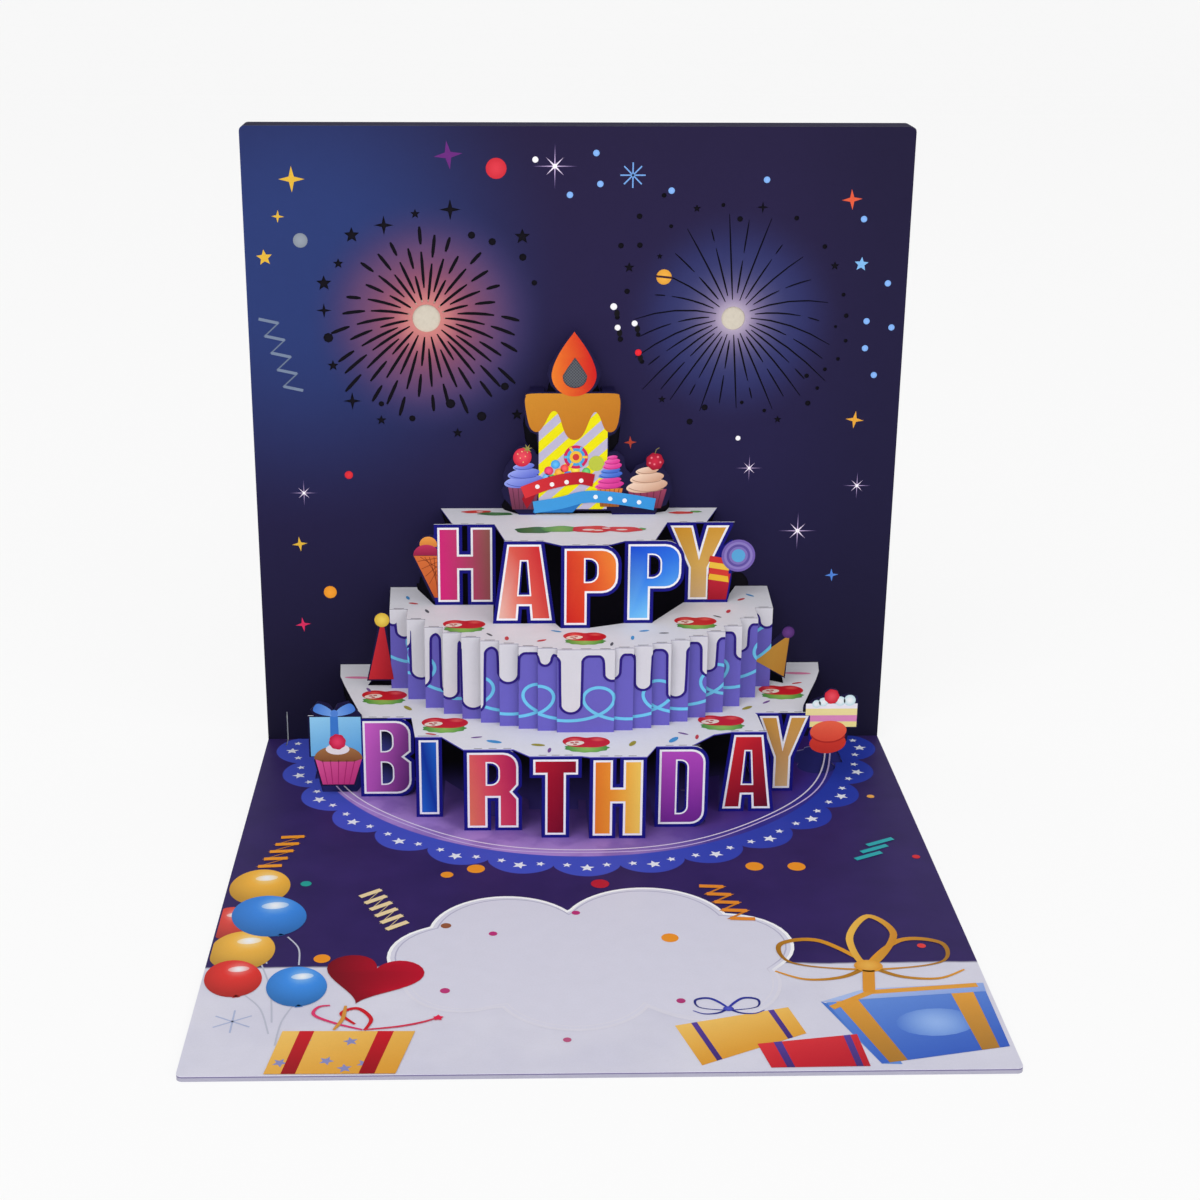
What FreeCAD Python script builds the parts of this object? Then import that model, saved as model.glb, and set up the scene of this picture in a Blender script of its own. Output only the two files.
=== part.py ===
import FreeCAD, Part
import math
import os
from FreeCAD import Vector as V

# Pop up birthday card, opened square, in millimetres.
# Everything is drawn from the fold line: x to the right, y to the back, z up.
# The base's top face is z = 0 and the back panel's printed face is y = 0.
# At the end each piece is moved so that the origin is under the middle.

os.makedirs("parts", exist_ok=True)

# Card
CARD_W = 155.0          # width along the fold
PANEL = 152.0           # fold to the front edge, and fold to the top edge
CORNER_R = 1.2          # rounding of the outer corners
SHEET = 0.35            # printed sheet that is cut and lifted into the cake
BACKING = 0.35          # dark sheet behind the cut-outs
COVER = 0.4             # outer cover
BOX = 8.0               # depth of the back panel, with the sound and lights in it
FRONT = SHEET + BACKING # back face of the backing sheet, behind the print

# Cake: top faces of the three plates
TIER = (20.3, 40.7, 61.0)
MARGIN = 0.8            # plain edge around a letter

# Lower word: letter, left, right, depth in front of the back panel
LOWER = [("B", -51.7, -38.9, 34.3), ("I", -38.1, -32.0, 45.6), ("R", -26.9, -13.7, 52.8),
         ("T", -12.0, -0.3, 56.7), ("H", 1.5, 14.3, 57.3), ("D", 16.8, 28.9, 51.6),
         ("A", 32.4, 45.2, 43.6), ("Y", 41.8, 55.1, 32.5)]
# Upper word
UPPER = [("H", -34.2, -19.6, 13.1), ("A", -20.2, -5.6, 26.2), ("P", -4.4, 9.6, 29.4),
         ("P", 10.5, 24.5, 26.2), ("Y", 21.4, 37.1, 11.9)]

# Middle tier: strips of one width, stepped in depth to a rounded front
STRIP_X0, STRIP_X1 = -45.0, 47.0
STRIP_DEPTH = [16.0, 23.0, 28.4, 32.1, 35.1, 37.5, 39.5, 41.2, 42.4, 43.4]

CANDLE_D = 5.5          # candle group in front of the back panel

# Lamps behind the two bursts and the flame: x, z
LEFT_BURST, LEFT_R = (-35.6, 107.7), 3.3
RIGHT_BURST, RIGHT_R = (36.8, 107.7), 2.8
FLAME = (-0.7, 95.6)

# Cuts round the bursts that let the lamps shine through.
# Rays: how far a ray hangs at 24 mm to the side, its width at the hub and 20 mm out, the scale of
# the radii and what it gains upwards, the number of rays, and for each ray in turn its dashes
# as inner and outer radius.
LEFT_RAYS = 7.0, (0.55, 0.85), (0.95, -0.05), 36, [
    [(4.4, 14.5), (16.0, 22.0)], [(8.0, 17.5), (19.3, 24.0)],
    [(4.4, 11.5), (13.4, 19.0)], [(7.2, 16.5), (18.4, 22.5)]]
RIGHT_RAYS = 8.5, (0.5, 0.34), (1.13, 0.07), 32, [
    [(3.7, 20.5)], [(4.6, 14.5), (16.0, 18.5)], [(3.7, 21.5)], [(5.0, 11.5), (13.0, 19.5)]]
LEFT_MARKS = [(5, -17.0, 19.5, 1.9), (5, -23.8, 8.3, 1.9), (5, -20.3, 12.9, 1.3), (5, -2.2, 24.4, 1.2),
              (5, 22.6, 19.2, 1.9), (5, -22.3, -11.3, 1.4), (5, -11.2, -24.6, 1.3), (5, 7.0, -27.8, 1.3),
              (5, 21.3, -23.3, 1.5), (4, -9.5, 21.8, 2.3), (4, 5.9, 25.4, 2.5), (4, -24.0, 1.9, 1.8),
              (4, -18.0, -19.9, 2.2), (0, 10.8, 19.5, 0.9), (0, 15.6, 18.0, 0.9), (0, 22.7, 14.4, 0.9),
              (0, -23.2, -4.6, 1.2), (0, 5.4, -20.6, 1.2), (0, 12.8, -23.7, 1.2), (0, -3.8, -24.2, 0.8),
              (0, -11.1, -20.6, 0.7), (0, 18.4, -16.4, 1.0), (0, 25.4, 8.4, 0.7)]
RIGHT_MARKS = [(0, -17.0, 28.7, 0.6), (0, -22.6, 23.9, 0.7), (0, -26.8, 17.1, 0.7), (0, -22.4, 17.2, 0.7),
               (0, -25.2, 6.4, 0.7), (0, -27.4, 0.2, 0.6), (0, -26.6, -5.0, 0.7), (0, -22.4, -3.9, 0.6),
               (0, -21.4, -10.4, 0.6), (0, -15.2, 21.6, 0.5), (0, -3.2, 26.5, 0.5), (0, 0.8, 23.3, 0.7),
               (0, 14.0, 23.5, 0.6), (0, 20.9, 16.9, 0.6), (0, 25.9, 5.6, 0.5), (0, 26.8, 0.6, 0.6),
               (0, 24.4, -2.0, 0.4), (0, 27.0, -5.4, 0.5), (0, 25.4, -9.8, 0.5), (0, 22.4, -12.3, 0.5),
               (0, 18.1, -13.9, 0.6), (0, 20.8, -16.9, 0.5), (0, 18.7, -20.6, 0.7), (0, 8.3, -22.4, 0.5),
               (0, 2.8, -20.4, 0.5), (0, -6.1, -21.6, 0.8), (0, -9.6, -25.1, 0.8), (5, -9.3, 25.7, 1.0),
               (4, 6.0, 26.0, 1.4), (5, -17.7, 14.6, 0.8), (5, -24.8, 12.0, 1.3), (5, 23.5, 12.4, 1.1),
               (5, 11.6, -24.6, 1.0), (5, -16.4, -19.6, 1.0)]


def arc(cx, cy, rx, ry, a0, a1, n):
    """Points on an arc from angle a0 to a1, in degrees, in n steps."""
    return [(cx + rx * math.cos(math.radians(a0 + (a1 - a0) * i / n)),
             cy + ry * math.sin(math.radians(a0 + (a1 - a0) * i / n))) for i in range(n + 1)]


def grow(points, m):
    """A polygon with each side moved out by m. Points run counter-clockwise."""
    out, n = [], len(points)
    for i in range(n):
        (ax, ay), (bx, by), (cx, cy) = points[i - 1], points[i], points[(i + 1) % n]
        l1, l2 = math.hypot(bx - ax, by - ay), math.hypot(cx - bx, cy - by)
        n1, n2 = ((by - ay) / l1, (ax - bx) / l1), ((cy - by) / l2, (bx - cx) / l2)
        k = m / (1.0 + n1[0] * n2[0] + n1[1] * n2[1])
        out.append((bx + k * (n1[0] + n2[0]), by + k * (n1[1] + n2[1])))
    return out


def ray(middle, angle, droop, widths, r0, r1):
    """A dash along a ray that hangs with the square of its sideways distance, thin at both ends."""
    left, right, n = [], [], 4
    for i in range(n + 1):
        r = r0 + (r1 - r0) * i / n
        across = r * math.cos(angle)
        x, z = middle[0] + across, middle[1] + r * math.sin(angle) - droop * (across / 24.0) ** 2
        dx, dz = math.cos(angle), math.sin(angle) - 2 * droop * across * math.cos(angle) / 24.0 ** 2
        half = 0.5 * (widths[0] + (widths[1] - widths[0]) * r / 20.0) * (0.5 if i in (0, n) else 1.0)
        half /= math.hypot(dx, dz)
        left.append((x - half * dz, z + half * dx))
        right.append((x + half * dz, z - half * dx))
    return left + right[::-1]


def mark(middle, points, x, z, r):
    """A star with so many points, or a dot."""
    n, inner = (8, 1.0) if points == 0 else (2 * points, 0.45 if points == 5 else 0.28)
    return [(middle[0] + x + r * (inner if k % 2 else 1.0) * math.cos(math.pi * (0.5 + 2 * k / n)),
             middle[1] + z + r * (inner if k % 2 else 1.0) * math.sin(math.pi * (0.5 + 2 * k / n)))
            for k in range(n)]


def counter(x0, x1, z0, z1):
    """Hole inside a letter, square on the left and round on the right."""
    q = 0.7 * (x1 - x0)
    low, high = arc(x1 - q, z0 + q, q, q, -90, 0, 3), arc(x1 - q, z1 - q, q, q, 0, 90, 3)
    return [(x0, z0)] + low + high + [(x0, z1)]


def glyph(letter, w, h):
    """Outline and holes of a plain heavy block capital, w wide and h high."""
    s, r = 0.39 * w, 0.30 * w
    if letter == "I":
        return [(0, 0), (w, 0), (w, h), (0, h)], []
    if letter == "H":
        return [(0, 0), (s, 0), (s, 0.43 * h), (w - s, 0.43 * h), (w - s, 0), (w, 0), (w, h),
                (w - s, h), (w - s, 0.64 * h), (s, 0.64 * h), (s, h), (0, h)], []
    if letter == "T":
        s = 0.46 * w
        return [(0.5 * (w - s), 0), (0.5 * (w + s), 0), (0.5 * (w + s), 0.8 * h), (w, 0.8 * h),
                (w, h), (0, h), (0, 0.8 * h), (0.5 * (w - s), 0.8 * h)], []
    if letter == "Y":
        return [(0.33 * w, 0), (0.67 * w, 0), (0.67 * w, 0.43 * h), (w, h), (0.62 * w, h),
                (0.5 * w, 0.64 * h), (0.38 * w, h), (0, h), (0.33 * w, 0.43 * h)], []
    if letter == "A":
        return [(0, 0), (0.38 * w, 0), (0.40 * w, 0.19 * h), (0.60 * w, 0.19 * h), (0.62 * w, 0),
                (w, 0), (0.80 * w, h), (0.20 * w, h)], \
               [[(0.40 * w, 0.34 * h), (0.60 * w, 0.34 * h), (0.55 * w, 0.78 * h),
                 (0.45 * w, 0.78 * h)]]
    if letter == "D":
        return [(0, 0)] + arc(w - r, r, r, r, -90, 0, 5) + arc(w - r, h - r, r, r, 0, 90, 5) + \
               [(0, h)], [counter(s, w - s, 0.15 * h, 0.85 * h)]
    if letter == "P":
        b = 0.42 * h
        return [(0, 0), (s + 0.03 * w, 0), (s + 0.03 * w, b)] + arc(w - r, b + r, r, r, -90, 0, 5) + \
               arc(w - r, h - r, r, r, 0, 90, 5) + [(0, h)], \
               [counter(s, w - s, b + 0.15 * h, 0.86 * h)]
    if letter == "R":
        return [(0, 0), (s, 0), (s, 0.40 * h), (w - s, 0.40 * h), (w - s, 0), (w, 0),
                (w, 0.39 * h), (0.88 * w, 0.48 * h), (w, 0.57 * h)] + \
               arc(w - r, h - r, r, r, 0, 90, 5) + [(0, h)], \
               [counter(s, w - s, 0.58 * h, 0.86 * h)]
    return [(0, 0)] + arc(w - r, r, r, r, -90, 0, 5) + [(w, 0.44 * h), (0.86 * w, 0.51 * h),
            (w, 0.58 * h)] + arc(w - r, h - r, r, r, 0, 90, 5) + [(0, h)], \
           [counter(s, w - s, 0.14 * h, 0.43 * h), counter(s, w - s, 0.59 * h, 0.86 * h)]


def letter_paper(row, foot, head):
    """Cut outline of one letter and its holes, in x and z, with its plain edge."""
    name, x0, x1, _ = row
    outer, holes = glyph(name, x1 - x0 - 2 * MARGIN, head - foot - 2 * MARGIN)
    put = lambda pts: [(x + x0 + MARGIN, z + foot + MARGIN) for x, z in pts]
    outer = [(x, min(max(z, foot), head)) for x, z in grow(put(outer), MARGIN)]
    holes = [grow(put(h), -0.5 * MARGIN) for h in holes]
    return outer, holes


# Flat shapes in the sheet's own plane: x, and s from the fold to the top edge.
# The base is s below 0 and the back panel is s above 0.

def flat(points, holes=()):
    loop = lambda p: Part.Face(Part.makePolygon([V(x, s, 0) for x, s in p] + [V(p[0][0], p[0][1], 0)]))
    shape = loop(points)
    return shape.cut([loop(h) for h in holes]) if holes else shape


def standing(points, depth, foot=None, holes=()):
    """An upright panel and the place in the sheet that it was cut from."""
    cut = flat([(x, z - depth) for x, z in points])
    low = [(x, z - (SHEET if foot is not None and abs(z - foot) < 1e-6 else 0)) for x, z in points]
    panel = flat([(x, z) for x, z in low], holes)
    panel.rotate(V(), V(1, 0, 0), 90)
    panel = panel.extrude(V(0, SHEET, 0))
    panel.translate(V(0, -depth, 0))
    return panel, cut


def level(points, height):
    """Outline of a level panel and the place in the sheet that it was cut from."""
    back = [(x, y + (SHEET if abs(y) < 1e-6 else 0)) for x, y in points]
    return flat(back), flat([(x, y + height) for x, y in points])


def lay(shape, height):
    solid = shape.extrude(V(0, 0, -SHEET))
    solid.translate(V(0, 0, height))
    return solid


def rounded_panel(s_edge, far):
    """Outline from the fold to an outer edge with two rounded corners."""
    w, r = CARD_W / 2, CORNER_R
    if far > 0:
        return [(-w, s_edge), (w, s_edge)] + arc(w - r, far - r, r, r, 0, 90, 4) + \
               arc(-w + r, far - r, r, r, 90, 180, 4)
    return [(w, s_edge), (-w, s_edge)] + arc(-w + r, far + r, r, r, 180, 270, 4) + \
           arc(w - r, far + r, r, r, 270, 360, 4)


# Upright pieces of the cake: outline, depth, foot, holes
uprights = []
for row in LOWER:
    outer, holes = letter_paper(row, 0.0, TIER[0])
    uprights.append((outer, row[3], 0.0, holes if row[0] in "ADPR" else []))
for row in UPPER:
    outer, holes = letter_paper(row, TIER[1], TIER[2])
    uprights.append((outer, row[3], TIER[1], holes))

strip_w = (STRIP_X1 - STRIP_X0) / (2 * len(STRIP_DEPTH) + 1)
depths = STRIP_DEPTH + [STRIP_DEPTH[-1]] + STRIP_DEPTH[::-1]
STRIPS = [(STRIP_X0 + i * strip_w, STRIP_X0 + (i + 1) * strip_w, d) for i, d in enumerate(depths)]
runs = []
for x0, x1, d in STRIPS:
    if runs and runs[-1][2] == d:
        runs[-1][1] = x1
    else:
        runs.append([x0, x1, d])
for x0, x1, d in runs:
    uprights.append(([(x0, TIER[0]), (x1, TIER[0]), (x1, TIER[1]), (x0, TIER[1])], d, TIER[0], []))

# Small figures beside the letters and the strips, each cut from its neighbour's own plane
BOW = [(-51.4, 21.0), (-54.0, 24.6), (-56.6, 23.9), (-57.5, 22.3), (-58.6, 23.9), (-61.0, 24.6),
       (-63.0, 22.4), (-62.2, 20.9)]
GIFT = [(-63.6, 10.4), (-51.0, 10.4), (-51.0, 21.0)] + BOW[1:] + [(-63.6, 20.9)]
CUPCAKE = [(-61.1, 2.9), (-52.9, 2.9), (-50.9, 9.4), (-50.9, 11.4)] + \
          arc(-56.8, 11.3, 5.4, 3.3, 10, 60, 3) + arc(-56.9, 14.2, 2.2, 2.2, -10, 190, 8) + \
          arc(-56.8, 11.3, 5.4, 3.3, 120, 170, 3) + [(-62.5, 9.4)]
SLICE = [(54.3, 16.3), (66.0, 16.3), (66.0, 22.2), (65.6, 24.4), (63.2, 25.0)] + \
        arc(59.4, 24.6, 1.9, 1.9, 0, 180, 6) + [(55.2, 23.6), (52.8, 21.4), (54.3, 20.6)]
MACARON = arc(59.1, 14.2, 4.7, 4.4, 0, 345, 23)
HAT_LEFT = [(-50.9, 22.3), (-44.0, 22.3)] + arc(-46.9, 38.0, 2.0, 2.0, -60, 240, 10)
HAT_RIGHT = [(50.7, 22.4)] + arc(51.0, 34.4, 1.7, 1.7, -80, 185, 9) + [(42.4, 27.3)]
CONE = [(-34.6, 41.7), (-33.4, 41.7), (-33.4, 58.2), (-34.9, 58.5), (-36.8, 58.0), (-38.3, 56.4),
        (-38.6, 54.2), (-39.6, 53.2)]
SWEETS = [(31.2, TIER[1]), (36.4, TIER[1]), (37.4, 48.1)] + arc(38.7, 52.6, 4.3, 4.3, -100, 120, 12) + \
         [(34.4, 54.6), (31.2, 50.0)]
for points, depth, foot in [(GIFT, 34.3, None), (CUPCAKE, 34.3, None), (SLICE, 32.5, None),
                            (MACARON, 32.5, None), (HAT_LEFT, 16.0, None), (HAT_RIGHT, 16.0, None),
                            (CONE, 13.1, None), (SWEETS, 11.9, TIER[1])]:
    uprights.append((points, depth, foot, []))

# Candle with its flame, wax, cakes and ribbon, standing on the top plate
CANDLE = [(-13.6, TIER[2]), (-10.0, TIER[2]), (-9.6, 62.0), (8.3, 62.0), (8.6, TIER[2]),
          (18.8, TIER[2]), (19.5, 62.6), (21.6, 63.4), (22.9, 67.0), (22.2, 70.6), (20.4, 73.0)] + \
         arc(18.6, 74.6, 2.3, 2.2, -30, 190, 7) + \
         [(14.2, 73.2), (12.9, 71.2), (11.6, 72.6), (11.2, 75.4), (9.4, 76.8), (7.6, 76.6),
          (7.4, 80.4), (8.9, 81.2), (10.1, 83.0), (10.6, 87.4), (10.2, 90.2), (8.9, TIER[2] + 30.3),
          (3.2, TIER[2] + 30.3), (4.6, 92.9), (5.4, 95.4), (4.9, 97.6), (3.2, 100.6), (1.2, 103.6),
          (-0.9, 106.4), (-2.7, 103.8), (-5.0, 100.4), (-6.7, 97.6), (-7.2, 95.4), (-6.4, 92.9),
          (-4.9, TIER[2] + 30.3), (-11.4, TIER[2] + 30.3), (-12.6, 90.2), (-12.9, 87.6),
          (-12.3, 83.4), (-11.2, 81.6),
          (-9.7, 80.9), (-9.2, 75.8)] + \
         arc(-12.6, 75.8, 2.7, 2.5, 10, 190, 7) + \
         [(-17.0, 73.2), (-17.8, 70.6), (-17.2, 69.0), (-18.2, 67.2), (-17.4, 65.0)]
BRIDGE_Z = TIER[2] + 30.3
WINDOW = [(-0.7, 99.6), (-2.4, 97.2), (-3.6, 95.2)] + arc(-0.7, 94.9, 2.9, 2.7, 180, 360, 8) + \
         [(2.2, 95.2), (1.0, 97.2)]
uprights.append((CANDLE, CANDLE_D, TIER[2], [WINDOW]))

# Level pieces: three plates and the two bridges that hold the candle up
PLATE_1 = [(-58.6, 0), (-58.0, -8.0), (-56.4, -14.5), (-54.5, -21.4), (-52.3, -29.0), (-51.7, -34.3),
           (-39.4, -34.3), (-38.1, -45.6), (-32.0, -45.6), (-26.9, -52.8), (-15.6, -52.8),
           (-12.0, -56.7), (-0.3, -56.7), (1.5, -57.3), (14.3, -57.3), (16.8, -51.6), (24.6, -51.6),
           (30.6, -45.0), (35.0, -43.6), (42.4, -43.6), (41.8, -32.5), (52.8, -32.5), (53.6, -28.0),
           (56.0, -20.7), (59.0, -11.8), (60.6, -6.0), (61.3, 0)]
PLATE_2 = [(-45.6, 0)]
for x0, x1, d in STRIPS:
    PLATE_2 += [(x0, -d), (x1, -d)]
PLATE_2 = [p for i, p in enumerate(PLATE_2) if i == 0 or p != PLATE_2[i - 1]]
PLATE_2 += [(47.6, 0), (39.8, 0), (37.6, -6.0), (36.4, -11.9), (25.8, -11.9), (17.0, -26.2),
            (10.5, -26.2), (2.0, -29.4), (-4.4, -29.4), (-5.6, -26.2), (-20.2, -26.2),
            (-20.2, -13.1), (-34.4, -13.1), (-38.9, -1.6), (-39.2, 0)]
PLATE_3 = [(-33.0, 0), (-29.7, -13.1), (-19.8, -13.1), (-17.2, -26.2), (-8.6, -26.2), (-4.4, -29.4),
           (6.4, -29.4), (10.5, -26.2), (17.4, -26.2), (21.4, -11.9), (30.7, -11.9), (34.6, 0)]
BRIDGES = [[(x0, -CANDLE_D), (x1, -CANDLE_D), (x1, 0), (x0, 0)] for x0, x1 in ((-11.2, -7.9), (5.8, 8.8))]

upright_solids, upright_cuts = [], []
for outline, depth, foot, holes in uprights:
    solid, cut = standing(outline, depth, foot, holes)
    upright_solids.append(solid)
    upright_cuts.append(cut)
plates = [level(PLATE_1, TIER[0]), level(PLATE_2, TIER[1]), level(PLATE_3, TIER[2])]
bridges = [level(b, BRIDGE_Z) for b in BRIDGES]


def moved(shapes, height):
    """Sheet shapes as they fall on a level panel at a height."""
    out = []
    for s in shapes:
        c = s.copy()
        c.translate(V(0, -height, 0))
        out.append(c)
    return out


# A level panel keeps the paper that nothing above it was cut from
n_low = len(LOWER)
plate_cuts = [p[1] for p in plates]
punched = [flat([(x, y + TIER[1]) for x, y in
                 [(39.2, 1), (37.0, -6.0), (36.4, -11.9), (25.8, -11.9), (17.0, -26.2), (10.5, -26.2),
                  (2.0, -29.4),
                  (-4.4, -29.4), (-5.6, -26.2), (-20.2, -26.2), (-20.2, -13.1), (-34.4, -13.1),
                  (-38.9, -1.6), (-39.2, 1)]])]
solids = list(upright_solids)
solids.append(lay(plates[0][0].cut(moved(upright_cuts + plate_cuts[1:], TIER[0])), TIER[0]))
solids.append(lay(plates[1][0], TIER[1]))
solids.append(lay(plates[2][0].cut(moved([upright_cuts[-1]], TIER[2])), TIER[2]))
solids += [lay(b[0], BRIDGE_Z) for b in bridges]

taken = upright_cuts + plate_cuts + punched + [b[1] for b in bridges]
base = flat(rounded_panel(SHEET, -PANEL)).cut(taken)
back = flat(rounded_panel(-SHEET, PANEL)).cut(taken)
hubs = [Part.Face(Part.Wire(Part.makeCircle(r, V(x, z, 0)))) for (x, z), r in
        ((LEFT_BURST, LEFT_R), (RIGHT_BURST, RIGHT_R))]
for middle, rays, marks in ((LEFT_BURST, LEFT_RAYS, LEFT_MARKS), (RIGHT_BURST, RIGHT_RAYS, RIGHT_MARKS)):
    droop, widths, (scale, rise), count, kinds = rays
    for i in range(count):
        angle = 2 * math.pi * (i + 0.35) / count
        grown = scale + rise * math.sin(angle)
        for r0, r1 in kinds[i % len(kinds)]:
            hubs.append(flat(ray(middle, angle, droop, widths, grown * r0, grown * r1)))
    hubs += [flat(mark(middle, *m)) for m in marks]
# Slit beside the switch strip, across the fold
SLIT = [(-72.7, -4.0), (-72.4, -4.0), (-72.4, 7.5), (-72.7, 7.5)]
base, back = base.cut(flat(SLIT)), back.cut(hubs + [flat(SLIT)])
back.rotate(V(), V(1, 0, 0), 90)
solids += [lay(base, 0.0), back.extrude(V(0, SHEET, 0))]

# The largest solid is the sheet; the rest are offcuts that fall away
popup_sheet = max(solids[0].fuse(solids[1:]).removeSplitter().Solids, key=lambda s: s.Volume)

pieces = {"popup_sheet": popup_sheet}


def box(x0, x1, y0, y1, z0, z1):
    return Part.makeBox(x1 - x0, y1 - y0, z1 - z0, V(x0, y0, z0))


def slab(points, z0, z1):
    """Outline in x and y, from z0 to z1."""
    face = Part.Face(Part.makePolygon([V(x, y, z0) for x, y in points + points[:1]]))
    return face.extrude(V(0, 0, z1 - z0))


def disc(x, z, r, y0, y1):
    """Round piece with its axis from front to back."""
    return Part.makeCylinder(r, y1 - y0, V(x, y0, z), V(0, 1, 0))


def prism(points, y0, y1):
    """Outline in x and z, from y0 to y1."""
    face = Part.Face(Part.makePolygon([V(x, y0, z) for x, z in points + points[:1]]))
    return face.extrude(V(0, y1 - y0, 0))


def turned(x, z, profile):
    """Profile of radius and y, turned round an axis from front to back."""
    face = Part.Face(Part.makePolygon([V(x + r, y, z) for r, y in profile + profile[:1]]))
    return face.revolve(V(x, 0, z), V(0, 1, 0), 360)


def bent(points, x0, x1):
    """Outline in y and z, from x0 to x1."""
    face = Part.Face(Part.makePolygon([V(x0, y, z) for y, z in points + points[:1]]))
    return face.extrude(V(x1 - x0, 0, 0))


def cable(points, r):
    """Round cable in straight runs through the points, with round elbows."""
    points = [V(*p) for p in points]
    runs = [Part.makeCylinder(r, (q - p).Length, p, q - p) for p, q in zip(points, points[1:])]
    elbows = [Part.makeSphere(r, p) for p in points[1:-1]]
    return runs[0].fuse(runs[1:] + elbows).removeSplitter()


REAR = BOX - COVER              # inner face of the back panel's rear wall
LEFT = -CARD_W / 2              # left edge of the card

# Sound board on the rear wall
BOARD_T = 1.0
BOARD_W, BOARD_H = 36.6, 26.0
BOARD_X, BOARD_Z = LEFT + 0.9, 20.0
BOARD_Y = REAR - BOARD_T        # its face
pieces["circuit_board"] = box(BOARD_X, BOARD_X + BOARD_W, BOARD_Y, REAR, BOARD_Z, BOARD_Z + BOARD_H)
pieces["chip_cap"] = turned(BOARD_X + 20.6, BOARD_Z + 14.0,
                            [(0, BOARD_Y), (4.6, BOARD_Y), (4.2, BOARD_Y - 0.9),
                             (2.8, BOARD_Y - 1.5), (0, BOARD_Y - 1.7)])
pieces["microphone"] = disc(BOARD_X + 10.6, BOARD_Z + 22.0, 3.0, BOARD_Y - 2.4, BOARD_Y)

# Switch strip: under the print, through the fold and up to the sound board
STRIP_T, STRIP_W = 0.2, 5.0
STRIP_A = LEFT + 1.5
STRIP_B = STRIP_A + STRIP_W
STRIP_IN, STRIP_TOP = 30.0, BOARD_Z + 14.0   # reach under the base, and top end at the switch
STRIP_BEND = 8.0                             # height at which it leaves the print
low, front = -SHEET - STRIP_T, SHEET + STRIP_T
pieces["switch_strip"] = bent(
    [(-STRIP_IN, low), (front, low), (front, STRIP_BEND), (BOARD_Y, STRIP_BEND + 10),
     (BOARD_Y, STRIP_TOP), (BOARD_Y - STRIP_T, STRIP_TOP), (BOARD_Y - STRIP_T, STRIP_BEND + 10.1),
     (SHEET, STRIP_BEND + 0.1), (SHEET, -SHEET), (-STRIP_IN, -SHEET)], STRIP_A, STRIP_B)
leaf_y, leaf_z = BOARD_Y - STRIP_T, BOARD_Z + 9.0
LEAF_T = 0.18
leaf = [(BOARD_Y, leaf_z + 9), (BOARD_Y, leaf_z + 6.4), (leaf_y - 0.45, leaf_z + 4), (leaf_y, leaf_z),
        (leaf_y - 0.5, leaf_z - 2.4)]
leaf += [(leaf_y - 0.65, leaf_z - 2.4), (leaf_y - LEAF_T, leaf_z), (leaf_y - 0.62, leaf_z + 4),
         (BOARD_Y - LEAF_T, leaf_z + 6.6), (BOARD_Y - LEAF_T, leaf_z + 9)]
pieces["switch_leaf"] = bent(leaf, STRIP_A + 0.8, STRIP_B - 0.8)

# Windows in front of the lamps, in holes of the backing sheet
WINDOW_T, WINDOW_LAP = 0.15, 1.1
pieces["left_burst_window"] = disc(*LEFT_BURST, LEFT_R + WINDOW_LAP, SHEET, SHEET + WINDOW_T)
pieces["right_burst_window"] = disc(*RIGHT_BURST, RIGHT_R + WINDOW_LAP, SHEET, SHEET + WINDOW_T)
pieces["flame_window"] = prism(grow(WINDOW[::1], 0.7), SHEET - CANDLE_D, SHEET - CANDLE_D + WINDOW_T)

# Backing sheet, one sheet behind both halves
outline_back = rounded_panel(-FRONT - COVER, PANEL)
outline_base = rounded_panel(BOX, -PANEL)
backing = prism(rounded_panel(-FRONT, PANEL), SHEET, FRONT)
backing = backing.fuse(slab(rounded_panel(FRONT, -PANEL), -FRONT, -SHEET))
slot = STRIP_A - 0.15, STRIP_B + 0.15
backing = backing.cut([box(*slot, -STRIP_IN - 0.2, FRONT + 1, -FRONT, -SHEET),
                       box(*slot, SHEET, FRONT, -FRONT, STRIP_BEND + 0.8),
                       disc(*LEFT_BURST, LEFT_R + WINDOW_LAP + 0.2, 0, FRONT + 1),
                       disc(*RIGHT_BURST, RIGHT_R + WINDOW_LAP + 0.2, 0, FRONT + 1),
                       disc(*FLAME, 3.4, 0, FRONT + 1)])
pieces["backing_sheet"] = backing.removeSplitter()

# Outer cover: one sheet under the base and round the back panel
SPEAKER = (34.0, 42.0)
SPEAKER_R = 14.5
cover = prism(outline_back, FRONT, BOX)
inner = [(x * (1 - 2 * COVER / CARD_W), z - COVER if z > 1 else -FRONT) for x, z in outline_back]
cover = cover.cut(prism(inner, FRONT - 1, REAR))
cover = cover.fuse(slab(outline_base, -FRONT - COVER, -FRONT))
sound = [disc(SPEAKER[0] + 6 * math.cos(a), SPEAKER[1] + 6 * math.sin(a), 1.0, REAR - 1, BOX + 1)
         for a in [math.pi * k / 3 for k in range(6)]] + [disc(*SPEAKER, 1.0, REAR - 1, BOX + 1)]
pieces["outer_cover"] = cover.cut(sound).removeSplitter()

# Lamps on small boards
LAMP_Y, LAMP_T, LAMP_BOARD_T = 0.8, 1.1, 0.8
lamp_board = LAMP_Y + LAMP_T            # front face of the lamp boards
rib = lamp_board + LAMP_BOARD_T         # front face of the foam behind them
for name, (x, z) in (("left_burst", LEFT_BURST), ("right_burst", RIGHT_BURST), ("flame", FLAME)):
    pieces[name + "_lamp_board"] = box(x - 4.5, x + 4.5, lamp_board, rib, z - 4.5, z + 4.5)
    pieces[name + "_lamp"] = box(x - 1.75, x + 1.75, LAMP_Y, lamp_board, z - 1.4, z + 1.4)

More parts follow.
